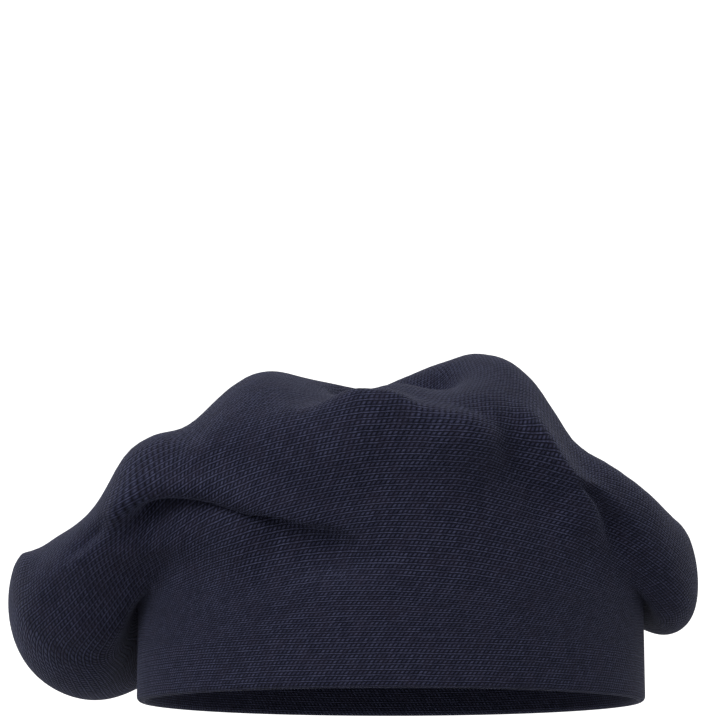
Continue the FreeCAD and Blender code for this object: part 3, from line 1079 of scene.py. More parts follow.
def tube(path: np.ndarray, radius: Union[float, np.ndarray], sides: int = 8,
         closed: bool = False) -> Shape:
    """Round tube along a path.

    Args:
        path: Points of its middle line.
        radius: Its radius, or one for each point.
        sides: How many sides it has.
        closed: Whether the path is a ring.

    Returns:
        (points, faces).
    """
    count = len(path)
    radii = np.broadcast_to(np.asarray(radius, float), (count,))
    if closed:
        tangent = np.roll(path, -1, 0) - np.roll(path, 1, 0)
    else:
        tangent = np.gradient(path, axis=0)
    tangent = tangent / np.linalg.norm(tangent, axis=1, keepdims=True)
    side = np.cross(tangent[0], [0.31, 0.17, 0.93])
    points = []
    for index in range(count):
        side = side - tangent[index] * (side @ tangent[index])
        side = side / np.linalg.norm(side)
        other = np.cross(tangent[index], side)
        for step in range(sides):
            angle = 2.0 * math.pi * step / sides
            points.append(path[index] + radii[index] * (side * math.cos(angle) + other * math.sin(angle)))
    faces: list[tuple[int, ...]] = []
    for index in range(count if closed else count - 1):
        after = (index + 1) % count
        for step in range(sides):
            turn = (step + 1) % sides
            near, far = index * sides, after * sides
            faces.append((near + step, near + turn, far + turn, far + step))
    if not closed:
        faces.append(tuple(range(sides))[::-1])
        faces.append(tuple((count - 1) * sides + step for step in range(sides)))
    return np.array(points), faces


def merge(parts: Sequence[Shape]) -> Shape:
    """Puts several shapes into one.

    Args:
        parts: (points, faces) of each shape.

    Returns:
        (points, faces) of them all.
    """
    points, faces, start = [], [], 0
    for shape, its_faces in parts:
        points.append(shape)
        faces += [tuple(number + start for number in face) for face in its_faces]
        start += len(shape)
    return np.concatenate(points), faces


# ---------------------------------------------------------------- pieces of knit


@dataclass
class KnitLayers:
    """The bag with the brim's outer layer, and the facing turned in behind it."""

    surface: KnitSurface
    face: Any
    back: Any
    thickness: float = 1.6
    fold_radius: float = 2.0
    wedges: int = 16
    facing_height: float = 35.0

    def _girth_radius(self) -> np.ndarray:
        """Works out what sets the stitches' spread.

        Returns:
            Mean radius of each of the knit's rows, no more than the brim's.
        """
        points = self.surface.points
        girth = np.linalg.norm(np.roll(points, -1, 0) - points, axis=2).sum(0)
        return np.minimum(girth, girth[0]) / (2.0 * math.pi)

    def _stitch_map(self, columns: int, rows: int, climb: np.ndarray, radius: np.ndarray,
                    grid_rows: Optional[np.ndarray] = None) -> np.ndarray:
        """Places of the faces' corners in the flat knit, in millimetres.

        Args:
            columns: Columns round the head.
            rows: Rows of the section.
            climb: Distance up the knit of each row.
            radius: Spread of the stitches in each row.
            grid_rows: The surface's row that each row of the section slides with.

        Returns:
            Two values for each corner.
        """
        corners = np.zeros((columns, rows, 4, 2))
        wedge = 360.0 / self.wedges
        step = 360.0 / columns
        base = radius.max()
        for i in range(columns):
            middle = (math.floor((i + 0.5) * step / wedge) + 0.5) * wedge
            for corner, (column, lift) in enumerate(((i, 0), (i + 1, 0), (i + 1, 1), (i, 1))):
                row = (np.arange(rows) + lift) % rows
                offset = math.radians(column * step - middle)
                corners[i, :, corner, 0] = math.radians(middle) * base + offset * radius[row]
                corners[i, :, corner, 1] = climb[row]
                if grid_rows is not None:
                    corners[i, :, corner, 0] += self.surface.run_shift[column % columns, grid_rows[row]]
                    corners[i, :, corner, 1] += self.surface.rise_shift[column % columns, grid_rows[row]]
        return corners.reshape(-1, 2)

    @staticmethod
    def _bake_map(columns: int, rows: int) -> np.ndarray:
        """Even map of the whole piece, for baking.

        Args:
            columns: Columns round the head.
            rows: Rows of the section.

        Returns:
            Two values for each corner.
        """
        corners = np.zeros((columns, rows, 4, 2))
        i, j = np.meshgrid(np.arange(columns), np.arange(rows), indexing="ij")
        for corner, (a, b) in enumerate(((0, 0), (1, 0), (1, 1), (0, 1))):
            corners[:, :, corner, 0] = (i + a) / columns * 0.996 + 0.002
            corners[:, :, corner, 1] = (j + b) / rows * 0.996 + 0.002
        return corners.reshape(-1, 2)

    def bag(self) -> Any:
        """Builds the bag with its drawn-up centre and the outer half of the brim's fold.

        Returns:
            The piece.
        """
        surface = self.surface
        base, outward = surface.points[:, 0], surface.normals[:, 0]
        spread = self._girth_radius()
        sections: list[np.ndarray] = []
        climb: list[float] = []
        radius: list[float] = []
        back: list[bool] = []
        slides: list[int] = []

        def add(points: np.ndarray, height: float, reach: float, inner: bool, slide: int = 0) -> None:
            """Adds one row of the section.

            Args:
                points: Its points round the head.
                height: Its distance up the flat knit.
                reach: Spread of its stitches.
                inner: Whether the knit's back shows there.
                slide: The surface's row that it slides with.
            """
            sections.append(points)
            climb.append(height)
            radius.append(reach)
            back.append(inner)
            slides.append(slide)

        fold = self.fold_radius
        add(base - outward * fold + np.array([0.0, 0.0, fold - 0.4]), -1.2, spread[0], True)
        for step in range(7):
            angle = math.pi / 2.0 * step / 6.0
            depth, height = fold - fold * math.sin(angle), fold - fold * math.cos(angle)
            point = base - outward * depth + np.array([0.0, 0.0, height])
            add(point, fold - fold * (math.pi / 2.0 - angle), spread[0], False)
        first = int(np.searchsorted(surface.v, surface.v_at(fold + 0.5)))
        rows = range(first, len(surface.v))
        for row in rows:
            add(surface.points[:, row], surface.climb[row], spread[row], False, row)
        last = len(surface.v) - 1
        edge = surface.points[:, last] - surface.normals[:, last] * (self.thickness * 0.5)
        hole = edge[:, :2].mean(0)
        for share, lift in ((0.14, 0.9), (0.42, 1.25), (0.70, 1.05), (0.95, 0.75), (0.96, 0.4)):
            rim = edge.copy()
            rim[:, :2] += (hole - rim[:, :2]) * share
            rim[:, 2] += lift
            add(rim, surface.climb[last] + 3.0 * share, spread[last], False, last)
        edge[:, 2] += 0.2
        edge[:, :2] += (hole - edge[:, :2]) * 0.10
        add(edge, surface.climb[last] + 0.6, spread[last], True, last)
        inner_rows = [row for row in reversed(rows) if (row - first) % 2 == 0 or row == last]
        for row in inner_rows:
            point = surface.points[:, row] - surface.normals[:, row] * self.thickness
            add(point, surface.climb[row], spread[row], True, row)
        turn = np.array([0.0, 0.0, 1.0])
        add(base - outward * self.thickness + turn * fold, 2.0, spread[0], True)
        add(base - outward * (fold - 0.28) + turn * (fold - 0.28), 1.0, spread[0], True)
        points = np.stack(sections, 1)
        columns, count = points.shape[:2]
        piece = new_piece("beret_bag", points.reshape(-1, 3), ring_faces(columns, count), self.face)
        piece.data.materials.append(self.back)
        inner = np.array(back) & np.roll(np.array(back), -1)
        piece.data.polygons.foreach_set("material_index", np.tile(inner, columns).astype(int))
        add_map(piece, "KnitMap", self._stitch_map(
            columns, count, np.array(climb), np.array(radius), np.array(slides)))
        add_map(piece, "OFBake", self._bake_map(columns, count))
        return piece

    def facing(self) -> Any:
        """Builds the turned-in layer, from the fold up to its sewn edge.

        Returns:
            The piece.
        """
        surface = self.surface
        base, outward = surface.points[:, 0], surface.normals[:, 0]
        fold, top = self.fold_radius, self.facing_height
        profile: list[Pair] = [(fold, 1.6)]
        for step in range(7):
            angle = math.pi / 2.0 * step / 6.0
            profile.append((fold + fold * math.sin(angle), fold - fold * math.cos(angle)))
        for step in range(1, 16):
            profile.append((2.0 * fold, fold + (top - 1.4 - fold) * step / 15.0))
        profile += [(3.85, top - 0.7), (3.4, top - 0.2), (2.8, top), (2.1, top - 0.1), (1.75, top - 0.5)]
        profile += [(1.64, top - 1.4), (1.64, top - 2.8), (2.4, top - 3.6)]
        for step in range(1, 7):
            profile.append((2.42, top - 3.6 - (top - 7.0) * step / 6.0))
        sections = [base - outward * depth + np.array([0.0, 0.0, height]) for depth, height in profile]
        points = np.stack(sections, 1)
        columns, count = points.shape[:2]
        piece = new_piece("brim_facing_knit", points.reshape(-1, 3), ring_faces(columns, count), self.face)
        lengths = np.linalg.norm(np.diff(np.array(profile), axis=0), axis=1)
        climb = np.concatenate([[0.0], np.cumsum(lengths)])
        radius = np.full(count, self._girth_radius()[0])
        add_map(piece, "KnitMap", self._stitch_map(columns, count, climb, radius))
        add_map(piece, "OFBake", self._bake_map(columns, count))
        return piece


# ---------------------------------------------------------------- sewn and tied pieces


class Bench:
    """Hand modelling with Blender's operators."""

    @staticmethod
    def clear() -> None:
        """Leaves edit mode and deselects everything."""
        if bpy.context.object is not None and bpy.context.object.mode != "OBJECT":
            bpy.ops.object.mode_set(mode="OBJECT")
        bpy.ops.object.select_all(action="DESELECT")

    @staticmethod
    def pick(piece: Any, test: Callable[[Any], bool]) -> None:
        """Selects vertices and stays in edit mode.

        Args:
            piece: The active object.
            test: Whether a vertex is selected, from its place in millimetres.
        """
        bpy.ops.object.mode_set(mode="EDIT")
        bpy.ops.mesh.select_mode(type="VERT")
        bpy.ops.mesh.select_all(action="DESELECT")
        bpy.ops.object.mode_set(mode="OBJECT")
        for vertex in piece.data.vertices:
            vertex.select = test(vertex.co / MM)
        bpy.ops.object.mode_set(mode="EDIT")

    @staticmethod
    def settle(piece: Any) -> None:
        """Applies the object's place, size and turn to its mesh and smooths its faces.

        Args:
            piece: The object.
        """
        Bench.clear()
        piece.select_set(True)
        bpy.context.view_layer.objects.active = piece
        bpy.ops.object.transform_apply(location=True, rotation=True, scale=True)
        bpy.ops.object.shade_smooth()

    @staticmethod
    def modify(piece: Any, kind: str, **settings: Any) -> None:
        """Adds a modifier and applies it.

        Args:
            piece: The object.
            kind: The modifier's type.
            settings: Its properties.
        """
        bpy.context.view_layer.objects.active = piece
        modifier = piece.modifiers.new(kind.title(), kind)
        for key, value in settings.items():
            setattr(modifier, key, value)
        bpy.ops.object.modifier_apply(modifier=modifier.name)


@dataclass
class Stitching:
    """Straight visible stitches of sewing thread, each sinking into the knit at its ends."""

    thread_diameter: float = 0.6
    sides: int = 8

    def _model(self, length: float) -> Shape:
        """Models one stitch along x with its outside towards z.

        Args:
            length: Length of the stitch.

        Returns:
            (points, faces) in millimetres.
        """
        Bench.clear()
        radius = self.thread_diameter / 2.0
        bpy.ops.mesh.primitive_cylinder_add(
            vertices=self.sides, radius=radius * MM, depth=length * MM, rotation=(0.0, math.pi / 2.0, 0.0))
        stitch = bpy.context.object
        Bench.settle(stitch)
        bpy.ops.object.mode_set(mode="EDIT")
        for share in (-0.38, -0.2, 0.0, 0.2, 0.38):
            bpy.ops.mesh.select_all(action="SELECT")
            bpy.ops.mesh.bisect(plane_co=(share * length * MM, 0.0, 0.0), plane_no=(1.0, 0.0, 0.0))
        for end in (-1.0, 1.0):
            Bench.pick(stitch, lambda place: place.x * end > length * 0.49)
            place = (end * length / 2.0 * MM, 0.0, 0.0)
            bpy.ops.transform.resize(value=(1.0, 0.45, 0.45), center_override=place)
            bpy.ops.transform.translate(value=(0.0, 0.0, -0.22 * MM))
        Bench.clear()
        points = np.array([vertex.co[:] for vertex in stitch.data.vertices]) / MM
        faces = [tuple(face.vertices) for face in stitch.data.polygons]
        bpy.data.objects.remove(stitch)
        return points, faces

    def build(self, name: str, length: float, places: Sequence[tuple[np.ndarray, np.ndarray, np.ndarray]],
              material: Any) -> Any:
        """Copies the stitch to every place.

        Args:
            name: The piece's name.
            length: Length of a stitch.
            places: (middle, direction, outward direction) of every stitch.
            material: The thread's material.

        Returns:
            The stitches as one piece.
        """
        model, faces = self._model(length)
        copies = []
        for middle, along, out in places:
            along = along / np.linalg.norm(along)
            out = out - along * (out @ along)
            out = out / np.linalg.norm(out)
            copies.append((middle + model @ np.stack([along, np.cross(out, along), out]), faces))
        return new_piece(name, *merge(copies), material)


@dataclass
class SeamWork:
    """The closing seam inside the bag and the hem of the facing."""

    surface: KnitSurface
    azimuth: float = 150.0
    lowest: float = 35.0
    ridge_width: float = 4.0
    ridge_depth: float = 1.8
    knit_thickness: float = 1.6
    brim_thickness: float = 4.0
    seam_pitch: float = 7.0
    seam_stitch: float = 4.4
    rung_pitch: float = 2.2
    rim_pitch: float = 0.62
    hem_pitch: float = 7.0
    hem_stitch: float = 5.2
    hem_height: float = 33.4
    thread_diameter: float = 0.6

    def _frame(self, azimuth: float, v: float, depth: float) -> tuple[np.ndarray, ...]:
        """Directions of the knit at a place.

        Args:
            azimuth: Degrees round the head.
            v: Place up the knit.
            depth: Millimetres under the outside.

        Returns:
            (point, direction round the head, direction up the knit, inward direction).
        """
        place = self.surface.place
        side = place(azimuth + 0.6, v, depth) - place(azimuth - 0.6, v, depth)
        up = place(azimuth, v + 0.06, depth) - place(azimuth, v - 0.06, depth)
        side, up = side / np.linalg.norm(side), up / np.linalg.norm(up)
        inward = np.cross(up, side)
        return place(azimuth, v, depth), side, up, inward / np.linalg.norm(inward)

    def _rungs(self, pitch: float) -> list[float]:
        """Spaces places evenly along the seam.

        Args:
            pitch: Millimetres between them.

        Returns:
            Places up the knit.
        """
        values = np.linspace(self.surface.v_at(self.lowest), self.surface.top - 0.3, 400)
        line = np.array([self.surface.place(self.azimuth, v, self.knit_thickness) for v in values])
        run = np.concatenate([[0.0], np.cumsum(np.linalg.norm(np.diff(line, axis=0), axis=1))])
        return [float(np.interp(at, run, values)) for at in np.arange(0.0, run[-1], pitch)]

    def ridge(self, material: Any) -> Any:
        """Builds the joined edges that stand up inside along the seam: two rolled rims side by side.

        Args:
            material: The knit's material.

        Returns:
            The piece.
        """
        profile = []
        half, deep = self.ridge_width / 2.0, self.ridge_depth
        for middle, first, last in ((-half / 2.0, 180.0, 10.0), (half / 2.0, 170.0, 0.0)):
            for step in range(6):
                angle = math.radians(first + (last - first) * step / 5.0)
                height = deep * (0.35 + 0.65 * math.sin(angle))
                profile.append((middle + half / 2.0 * math.cos(angle), height))
        profile += [(half, -0.1), (-half, -0.1)]
        rungs = self._rungs(self.rung_pitch)
        sections, climb = [], []
        for index, v in enumerate(rungs):
            point, side, _, inward = self._frame(self.azimuth, v, self.knit_thickness)
            taper = 0.55 if index in (0, len(rungs) - 1) else 1.0
            sections.append([point + side * (x * taper) + inward * (y * taper) for x, y in profile])
            climb.append(self.rung_pitch * index)
        points = np.array(sections)
        count, sides = points.shape[:2]
        faces: list[tuple[int, ...]] = []
        corners: list[Pair] = []
        rims = [j * self.rim_pitch for j in range(sides + 1)]
        for i in range(count - 1):
            for j in range(sides):
                k = (j + 1) % sides
                faces.append((i * sides + j, i * sides + k, (i + 1) * sides + k, (i + 1) * sides + j))
                corners += [(climb[i], rims[j]), (climb[i], rims[j + 1])]
                corners += [(climb[i + 1], rims[j + 1]), (climb[i + 1], rims[j])]
        faces += [tuple(range(sides))[::-1], tuple((count - 1) * sides + j for j in range(sides))]
        corners += [(0.0, rim) for rim in rims[:-1]][::-1] + [(climb[-1], rim) for rim in rims[:-1]]
        piece = new_piece("closing_seam", points.reshape(-1, 3), faces, material)
        add_map(piece, "KnitMap", np.array(corners))
        return face_outwards(piece)

    def seam_thread(self, stitching: Stitching, material: Any) -> Any:
        """Builds the thread runs along the crest of the seam.

        Args:
            stitching: What makes the stitches.
            material: The thread's material.

        Returns:
            The piece.
        """
        depth = self.knit_thickness + self.ridge_depth + self.thread_diameter / 2.0 - 0.1
        places = []
        for v in self._rungs(self.seam_pitch)[1:-1]:
            point, _, up, inward = self._frame(self.azimuth, v, depth)
            places.append((point, up, inward))
        return stitching.build("closing_seam_stitches", self.seam_stitch, places, material)

    def hem_thread(self, stitching: Stitching, material: Any) -> Any:
        """Builds the ring of stitches that holds the facing's edge.

        Args:
            stitching: What makes the stitches.
            material: The thread's material.

        Returns:
            The piece.
        """
        girth = math.pi * (self.surface.form.head_length + self.surface.form.head_breadth) / 2.0
        count = int(girth / self.hem_pitch)
        v = self.surface.v_at(self.hem_height)
        depth = self.brim_thickness + self.thread_diameter / 2.0
        places = []
        for index in range(count):
            point, side, _, inward = self._frame(360.0 * (index + 0.5) / count, v, depth)
            places.append((point, side, inward))
        return stitching.build("hem_stitch_ring", self.hem_stitch, places, material)


def face_outwards(piece: Any) -> Any:
    """Turns all of a closed piece's faces outwards.

    Args:
        piece: The object.

    Returns:
        The same object.
    """
    Bench.clear()
    bpy.context.view_layer.objects.active = piece
    piece.select_set(True)
    bpy.ops.object.mode_set(mode="EDIT")
    bpy.ops.mesh.select_all(action="SELECT")
    bpy.ops.mesh.normals_make_consistent(inside=False)
    Bench.clear()
    return piece


@dataclass
class CrownGather:
    """The cord that draws up the crown's last stitches, with its knot and clipped tails."""

    surface: KnitSurface
    cord_diameter: float = 1.6
    clearance: float = 0.05
    strand_radius: float = 0.4
    knot_radius: float = 2.8
    tail_length: float = 13.0
    tail_spread: float = 28.0

    def _hole(self) -> tuple[np.ndarray, float]:
        """Measures the crown's hole, half way through the knit.

        Returns:
            (middle, radius).
        """
        near = self.surface.place(0.0, self.surface.top, 0.8)
        far = self.surface.place(180.0, self.surface.top, 0.8)
        return (near + far) / 2.0, float(np.linalg.norm(near - far)) / 2.0

    def cord(self, material: Any) -> Any:
        """Builds the ring of three twisted strands.

        Args:
            material: The yarn's material.

        Returns:
            The piece.
        """
        middle, hole = self._hole()
        reach = hole - self.cord_diameter / 2.0 - self.clearance
        strands = []
        for strand in range(3):
            turn = np.linspace(0.0, 2.0 * math.pi, 61)[:-1]
            twist = 5.0 * turn + strand * 2.0 * math.pi / 3.0
            radius = reach + self.strand_radius * np.cos(twist)
            height = self.strand_radius * np.sin(twist)
            path = np.stack([radius * np.cos(turn), radius * np.sin(turn), height], 1) + middle
            strands.append(tube(path, self.strand_radius, 8, closed=True))
        return face_outwards(new_piece("gather_cord_ring", *merge(strands), material))

    def knot(self, material: Any) -> Any:
        """Builds the overhand knot and its two tails.

        Args:
            material: The yarn's material.

        Returns:
            The piece.
        """
        middle, hole = self._hole()
        ring = hole - self.cord_diameter / 2.0 - self.clearance
        reach = self.knot_radius + self.cord_diameter / 2.0
        middle = middle - np.array([0.0, 0.0, math.sqrt(reach ** 2 - ring ** 2)])
        turn = np.linspace(0.0, 2.0 * math.pi, 91)[:-1]
        size = (self.knot_radius - self.cord_diameter / 2.0) / 3.0
        path = np.stack([np.sin(turn) + 2.0 * np.sin(2.0 * turn), -1.3 * np.sin(3.0 * turn),
                         np.cos(turn) - 2.0 * np.cos(2.0 * turn)], 1) * size + middle
        shapes = [tube(path, self.cord_diameter / 2.0, 10, closed=True)]
        for side in (-1.0, 1.0):
            angle = math.radians(self.tail_spread)
            share = np.linspace(0.0, 1.0, 15)
            run = 1.2 + share * (self.knot_radius + self.tail_length - 1.2)
            bend = 0.9 * np.sin(share * math.pi) * side
            tail = np.stack([side * math.sin(angle) * run + bend, 0.5 * np.sin(share * 5.0 + side),
                             -math.cos(angle) * run], 1) + middle
            radii = np.full(15, self.cord_diameter / 2.0)
            radii[-3:] = (0.84, 0.95, 0.72)
            shapes.append(tube(tail, radii, 10))
        return face_outwards(new_piece("gather_knot_and_tails", *merge(shapes), material))


@dataclass
class CareLabel:
    """A blank woven label: a strip sewn to the facing at the nape and a flap that lifts below it."""

    back: float = -92.713
    thickness: float = 0.5
    width: float = 26.0
    strip_low: float = 28.80
    strip_high: float = 32.41
    flap_low: float = 10.10
    flap_high: float = 28.75
    stitch_count: int = 6
    stitch_length: float = 2.6

    def strip(self, material: Any) -> Any:
        """Builds the sewn strip, softly rounded at its edges.

        Args:
            material: The label's material.

        Returns:
            The piece.
        """
        Bench.clear()
        middle = (self.back + self.thickness / 2.0, 0.0, (self.strip_low + self.strip_high) / 2.0)
        bpy.ops.mesh.primitive_cube_add(size=1.0, location=[value * MM for value in middle])
        strip = bpy.context.object
        strip.name = "label_sewn_strip"
        strip.scale = (self.thickness * MM, self.width * MM, (self.strip_high - self.strip_low) * MM)
        Bench.settle(strip)
        Bench.modify(strip, "BEVEL", width=0.18 * MM, segments=3)
        bpy.ops.object.mode_set(mode="EDIT")
        for step in range(1, 12):
            bpy.ops.mesh.select_all(action="SELECT")
            place = (0.0, (step / 12.0 - 0.5) * self.width * MM, 0.0)
            bpy.ops.mesh.bisect(plane_co=place, plane_no=(0.0, 1.0, 0.0))
        Bench.clear()
        strip.data.materials.append(material)
        return strip

    def flap(self, material: Any) -> Any:
        """Builds the hanging flap with a turned hem, bowing slightly off the facing.

        Args:
            material: The label's material.

        Returns:
            The piece.
        """
        Bench.clear()
        height = self.flap_high - self.flap_low
        bpy.ops.mesh.primitive_grid_add(
            x_subdivisions=26, y_subdivisions=26, size=1.0, rotation=(math.pi / 2.0, 0.0, math.pi / 2.0),
            location=((self.back + 0.22) * MM, 0.0, (self.flap_low + height / 2.0) * MM))
        flap = bpy.context.object
        flap.name = "label_flap_cloth"
        flap.scale = (self.width * MM, height * MM, 1.0)
        Bench.settle(flap)
        for vertex in flap.data.vertices:
            y, z = vertex.co.y / MM, vertex.co.z / MM
            drop = (self.flap_high - z) / height
            bow = 0.5 * drop * drop + 0.18 * drop * math.sin(y * 0.35 + 0.8)
            vertex.co.x += max(bow, 0.0) * MM
        Bench.modify(flap, "SOLIDIFY", thickness=0.34 * MM, offset=0.0)
        Bench.pick(flap, lambda place: place.z < self.flap_low + 2.2)
        bpy.ops.transform.resize(value=(1.25, 1.0, 1.0))
        Bench.clear()
        Bench.modify(flap, "BEVEL", width=0.07 * MM, segments=2)
        flap.data.materials.append(material)
        return face_outwards(flap)

    def stitches(self, stitching: Stitching, material: Any) -> Any:
        """Builds the row of stitches through the strip.

        Args:
            stitching: What makes the stitches.
            material: The thread's material.

        Returns:
            The piece.
        """
        places = []
        face = self.back + self.thickness + 0.3
        level = (self.strip_low + self.strip_high) / 2.0
        for index in range(self.stitch_count):
            y = ((index + 0.5) / self.stitch_count - 0.5) * self.width
            places.append((np.array([face, y, level]), np.array([0.0, 1.0, 0.0]), np.array([1.0, 0.0, 0.0])))
        return stitching.build("label_stitch_row", self.stitch_length, places, material)


@dataclass
class ElasticTape:
    """The elastic tape that runs round inside the brim's channel."""

    surface: KnitSurface
    depth: float = 1.62
    thickness: float = 0.8
    low: float = 6.0
    high: float = 28.0
    ribs: int = 11
    rib_depth: float = 0.06

    def build(self, material: Any) -> Any:
        """Builds the tape with its ribs.

        Args:
            material: The tape's material.

        Returns:
            The piece.
        """
        base, outward = self.surface.points[:, 0], self.surface.normals[:, 0]
        profile = []
        steps = self.ribs * 2
        for step in range(steps + 1):
            height = self.low + (self.high - self.low) * step / steps
            profile.append((self.depth + (self.rib_depth if step % 2 else 0.0), height))
        for depth, height in profile[::-1]:
            profile.append((2.0 * self.depth + self.thickness - depth, height))
        sections = [base - outward * depth + np.array([0.0, 0.0, height]) for depth, height in profile]
        points = np.stack(sections, 1)
        columns, count = points.shape[:2]
        piece = new_piece("elastic_tape", points.reshape(-1, 3), ring_faces(columns, count), material)
        return face_outwards(piece)


# ---------------------------------------------------------------- stage


@dataclass(frozen=True)
class SoftLight:
    """A square light, in metres and watts."""

    name: str
    place: Triple
    size: float
    power: float


@dataclass
class Studio:
    """Pale floor and backdrop, soft lights and the camera, in metres."""

    lens: float = 135.0
    distance: float = 1.052
    elevation: float = -3.7
    middle: Triple = (-0.0119, 0.0, 0.1350)
    floor_height: float = -1.20
    reach: float = 3.0
    wall_place: float = 2.2
    paper: float = 0.62
    wall_glow: float = 0.75
    room_light: float = 0.46
    light_aim: Triple = (0.0, 0.0, 0.07)
    lights: tuple[SoftLight, ...] = (
        SoftLight("key", (0.1, -0.55, 1.5), 0.9, 1.2),
        SoftLight("fill", (-0.7, -1.35, 0.9), 0.8, 17.0),
        SoftLight("back_left", (-0.9, 1.1, 0.9), 0.7, 2.2),
        SoftLight("back_right", (0.9, 1.0, 0.9), 0.7, 1.8),
    )

    def build(self) -> None:
        """Makes everything that isn't part of the beret."""
        self._floor()
        self._world()
        for light in self.lights:
            self._light(light)
        self._camera()

    def _floor(self) -> None:
        """Plain pale floor well below the beret, and a white wall behind it."""
        graph = Graph("studio_paper")
        graph.feed({}, {"Base Color": (self.paper, self.paper, self.paper, 1.0), "Roughness": 0.9})
        low, high, side, back = self.floor_height, self.reach, self.reach, self.wall_place
        ground = [(-side, -side, low), (side, -side, low), (side, back, low), (-side, back, low)]
        new_piece("studio_floor", np.array(ground) / MM, [(0, 1, 2, 3)], graph.material)
        glow = Graph("studio_wall_white")
        glow.feed({}, {"Base Color": (0.9, 0.9, 0.9, 1.0), "Roughness": 1.0,
                       "Emission Color": (1.0, 1.0, 1.0, 1.0), "Emission Strength": self.wall_glow})
        wall = [(-side, back, low), (side, back, low), (side, back, high), (-side, back, high)]
        new_piece("studio_wall", np.array(wall) / MM, [(0, 1, 2, 3)], glow.material)

    def _world(self) -> None:
        """Even white light from all round."""
        world = bpy.data.worlds.new("studio_world")
        bpy.context.scene.world = world
        world.use_nodes = True
        background = world.node_tree.nodes["Background"]
        background.inputs["Color"].default_value = (1.0, 1.0, 1.0, 1.0)
        background.inputs["Strength"].default_value = self.room_light

    def _light(self, plan: SoftLight) -> None:
        """Hangs one soft square light.

        Args:
            plan: Its name, place, size and power.
        """
        data = bpy.data.lights.new(plan.name, "AREA")
        data.energy = plan.power
        data.size = plan.size
        light = bpy.data.objects.new(plan.name, data)
        light.location = plan.place
        aim = Vector(self.light_aim) - Vector(plan.place)
        light.rotation_euler = aim.to_track_quat("-Z", "Y").to_euler()
        bpy.context.scene.collection.objects.link(light)

    def _camera(self) -> None:
        """Long lens from a little below the brim's plane."""
        data = bpy.data.cameras.new("camera")
        data.lens = self.lens
        data.sensor_width = 36.0
        camera = bpy.data.objects.new("camera", data)
        angle = math.radians(self.elevation)
        x, _, z = self.middle
        camera.location = (x, -self.distance * math.cos(angle), self.distance * math.sin(angle))
        aim = Vector((x, 0.0, z))
        camera.rotation_euler = (aim - camera.location).to_track_quat("-Z", "Y").to_euler()
        bpy.context.scene.collection.objects.link(camera)
        bpy.context.scene.camera = camera
        bpy.context.scene.view_settings.view_transform = "Standard"


# ---------------------------------------------------------------- the folds and the lie of the knit


# Lines in millimetres with the width they act over, how far they move the knit out, their shift and taper.
STROKES: tuple[Stroke, ...] = (
    Stroke("rear roll", Face.RIGHT, ((-100, 80), (-86, 81), (-68, 78), (-46, 70), (-24, 65), (0, 62)),
           16.0, 13.0, (-1.0, 0.0, -4.0), (0.0, 0.6)),
    Stroke("shoulder over the rear roll", Face.RIGHT, ((-90, 103), (-70, 97), (-46, 87), (-20, 77), (6, 71)),
           8.0, -5.0, (0.0, 0.0, 0.0), (0.2, 0.5)),
    Stroke("crease under the rear roll", Face.RIGHT,
           ((-106, 63), (-96, 65), (-84, 69), (-72, 70), (-58, 65), (-44, 59), (-26, 55), (-4, 53), (14, 52)),
           7.5, -19.0, (0.0, 0.0, 2.0), (0.10, 0.75)),
    Stroke("valley below the rear roll", Face.RIGHT, ((-64, 62), (-46, 60), (-28, 59), (-8, 61)), 13.0, -4.5),
    Stroke("hollow behind the lobe", Face.RIGHT, ((-130, 71), (-121, 73), (-113, 76)), 9.0, -5.0),
    Stroke("top of the rear lobe", Face.RIGHT, ((-134, 54), (-124, 56), (-110, 57), (-90, 60), (-74, 61)),
           8.0, 4.0),
    Stroke("rear hump", Face.RIGHT, ((-50, 122), (-40, 112), (-22, 104), (-4, 98)), 12.0, 4.0),
    Stroke("crest of the roof", Face.RIGHT,
           ((-34, 126), (-10, 118), (10, 111), (30, 103), (48, 94), (58, 88)),
           7.0, 7.5, (0.0, 0.0, 3.0), (0.15, 0.3)),
    Stroke("hollow behind the crest", Face.TOP, ((-22, -44), (-4, -54), (12, -58), (28, -54)), 11.0, -11.0),
    Stroke("front hump", Face.RIGHT, ((14, 112), (34, 116), (52, 106)), 20.0, 5.0),
    Stroke("front ridge", Face.RIGHT, ((48, 122), (62, 110), (73, 94), (80, 74), (83, 54)), 10.0, 7.0),
    Stroke("hollow beside the front ridge", Face.RIGHT, ((42, 106), (54, 97), (61, 84), (67, 70), (70, 58)),
           8.0, -5.5, (0.0, 0.0, 0.0), (0.3, 0.4)),
    Stroke("crease before the front lobe", Face.RIGHT, ((78, 99), (86, 86), (92, 66), (93, 52)), 4.5, -7.0),
    Stroke("crease of the underside", Face.RIGHT, ((-136, 33), (-120, 32), (-104, 31)), 4.0, -3.0),
    Stroke("roll of the underside", Face.RIGHT, ((-134, 26), (-118, 25), (-101, 25)), 4.0, 2.5),
)

# (x, z) of the roof's edge from the side, in millimetres.
OUTLINE: tuple[Pair, ...] = (
    (-147, 50), (-140, 61), (-132, 65), (-122, 72), (-114, 84), (-107, 99), (-96, 105), (-82, 108),
    (-70, 121), (-57, 130), (-44, 131), (-27, 127), (-8, 123), (12, 132), (30, 138), (46, 137),
    (58, 129), (67, 115), (74, 102), (84, 96), (98, 87), (110, 77), (117, 64),
)

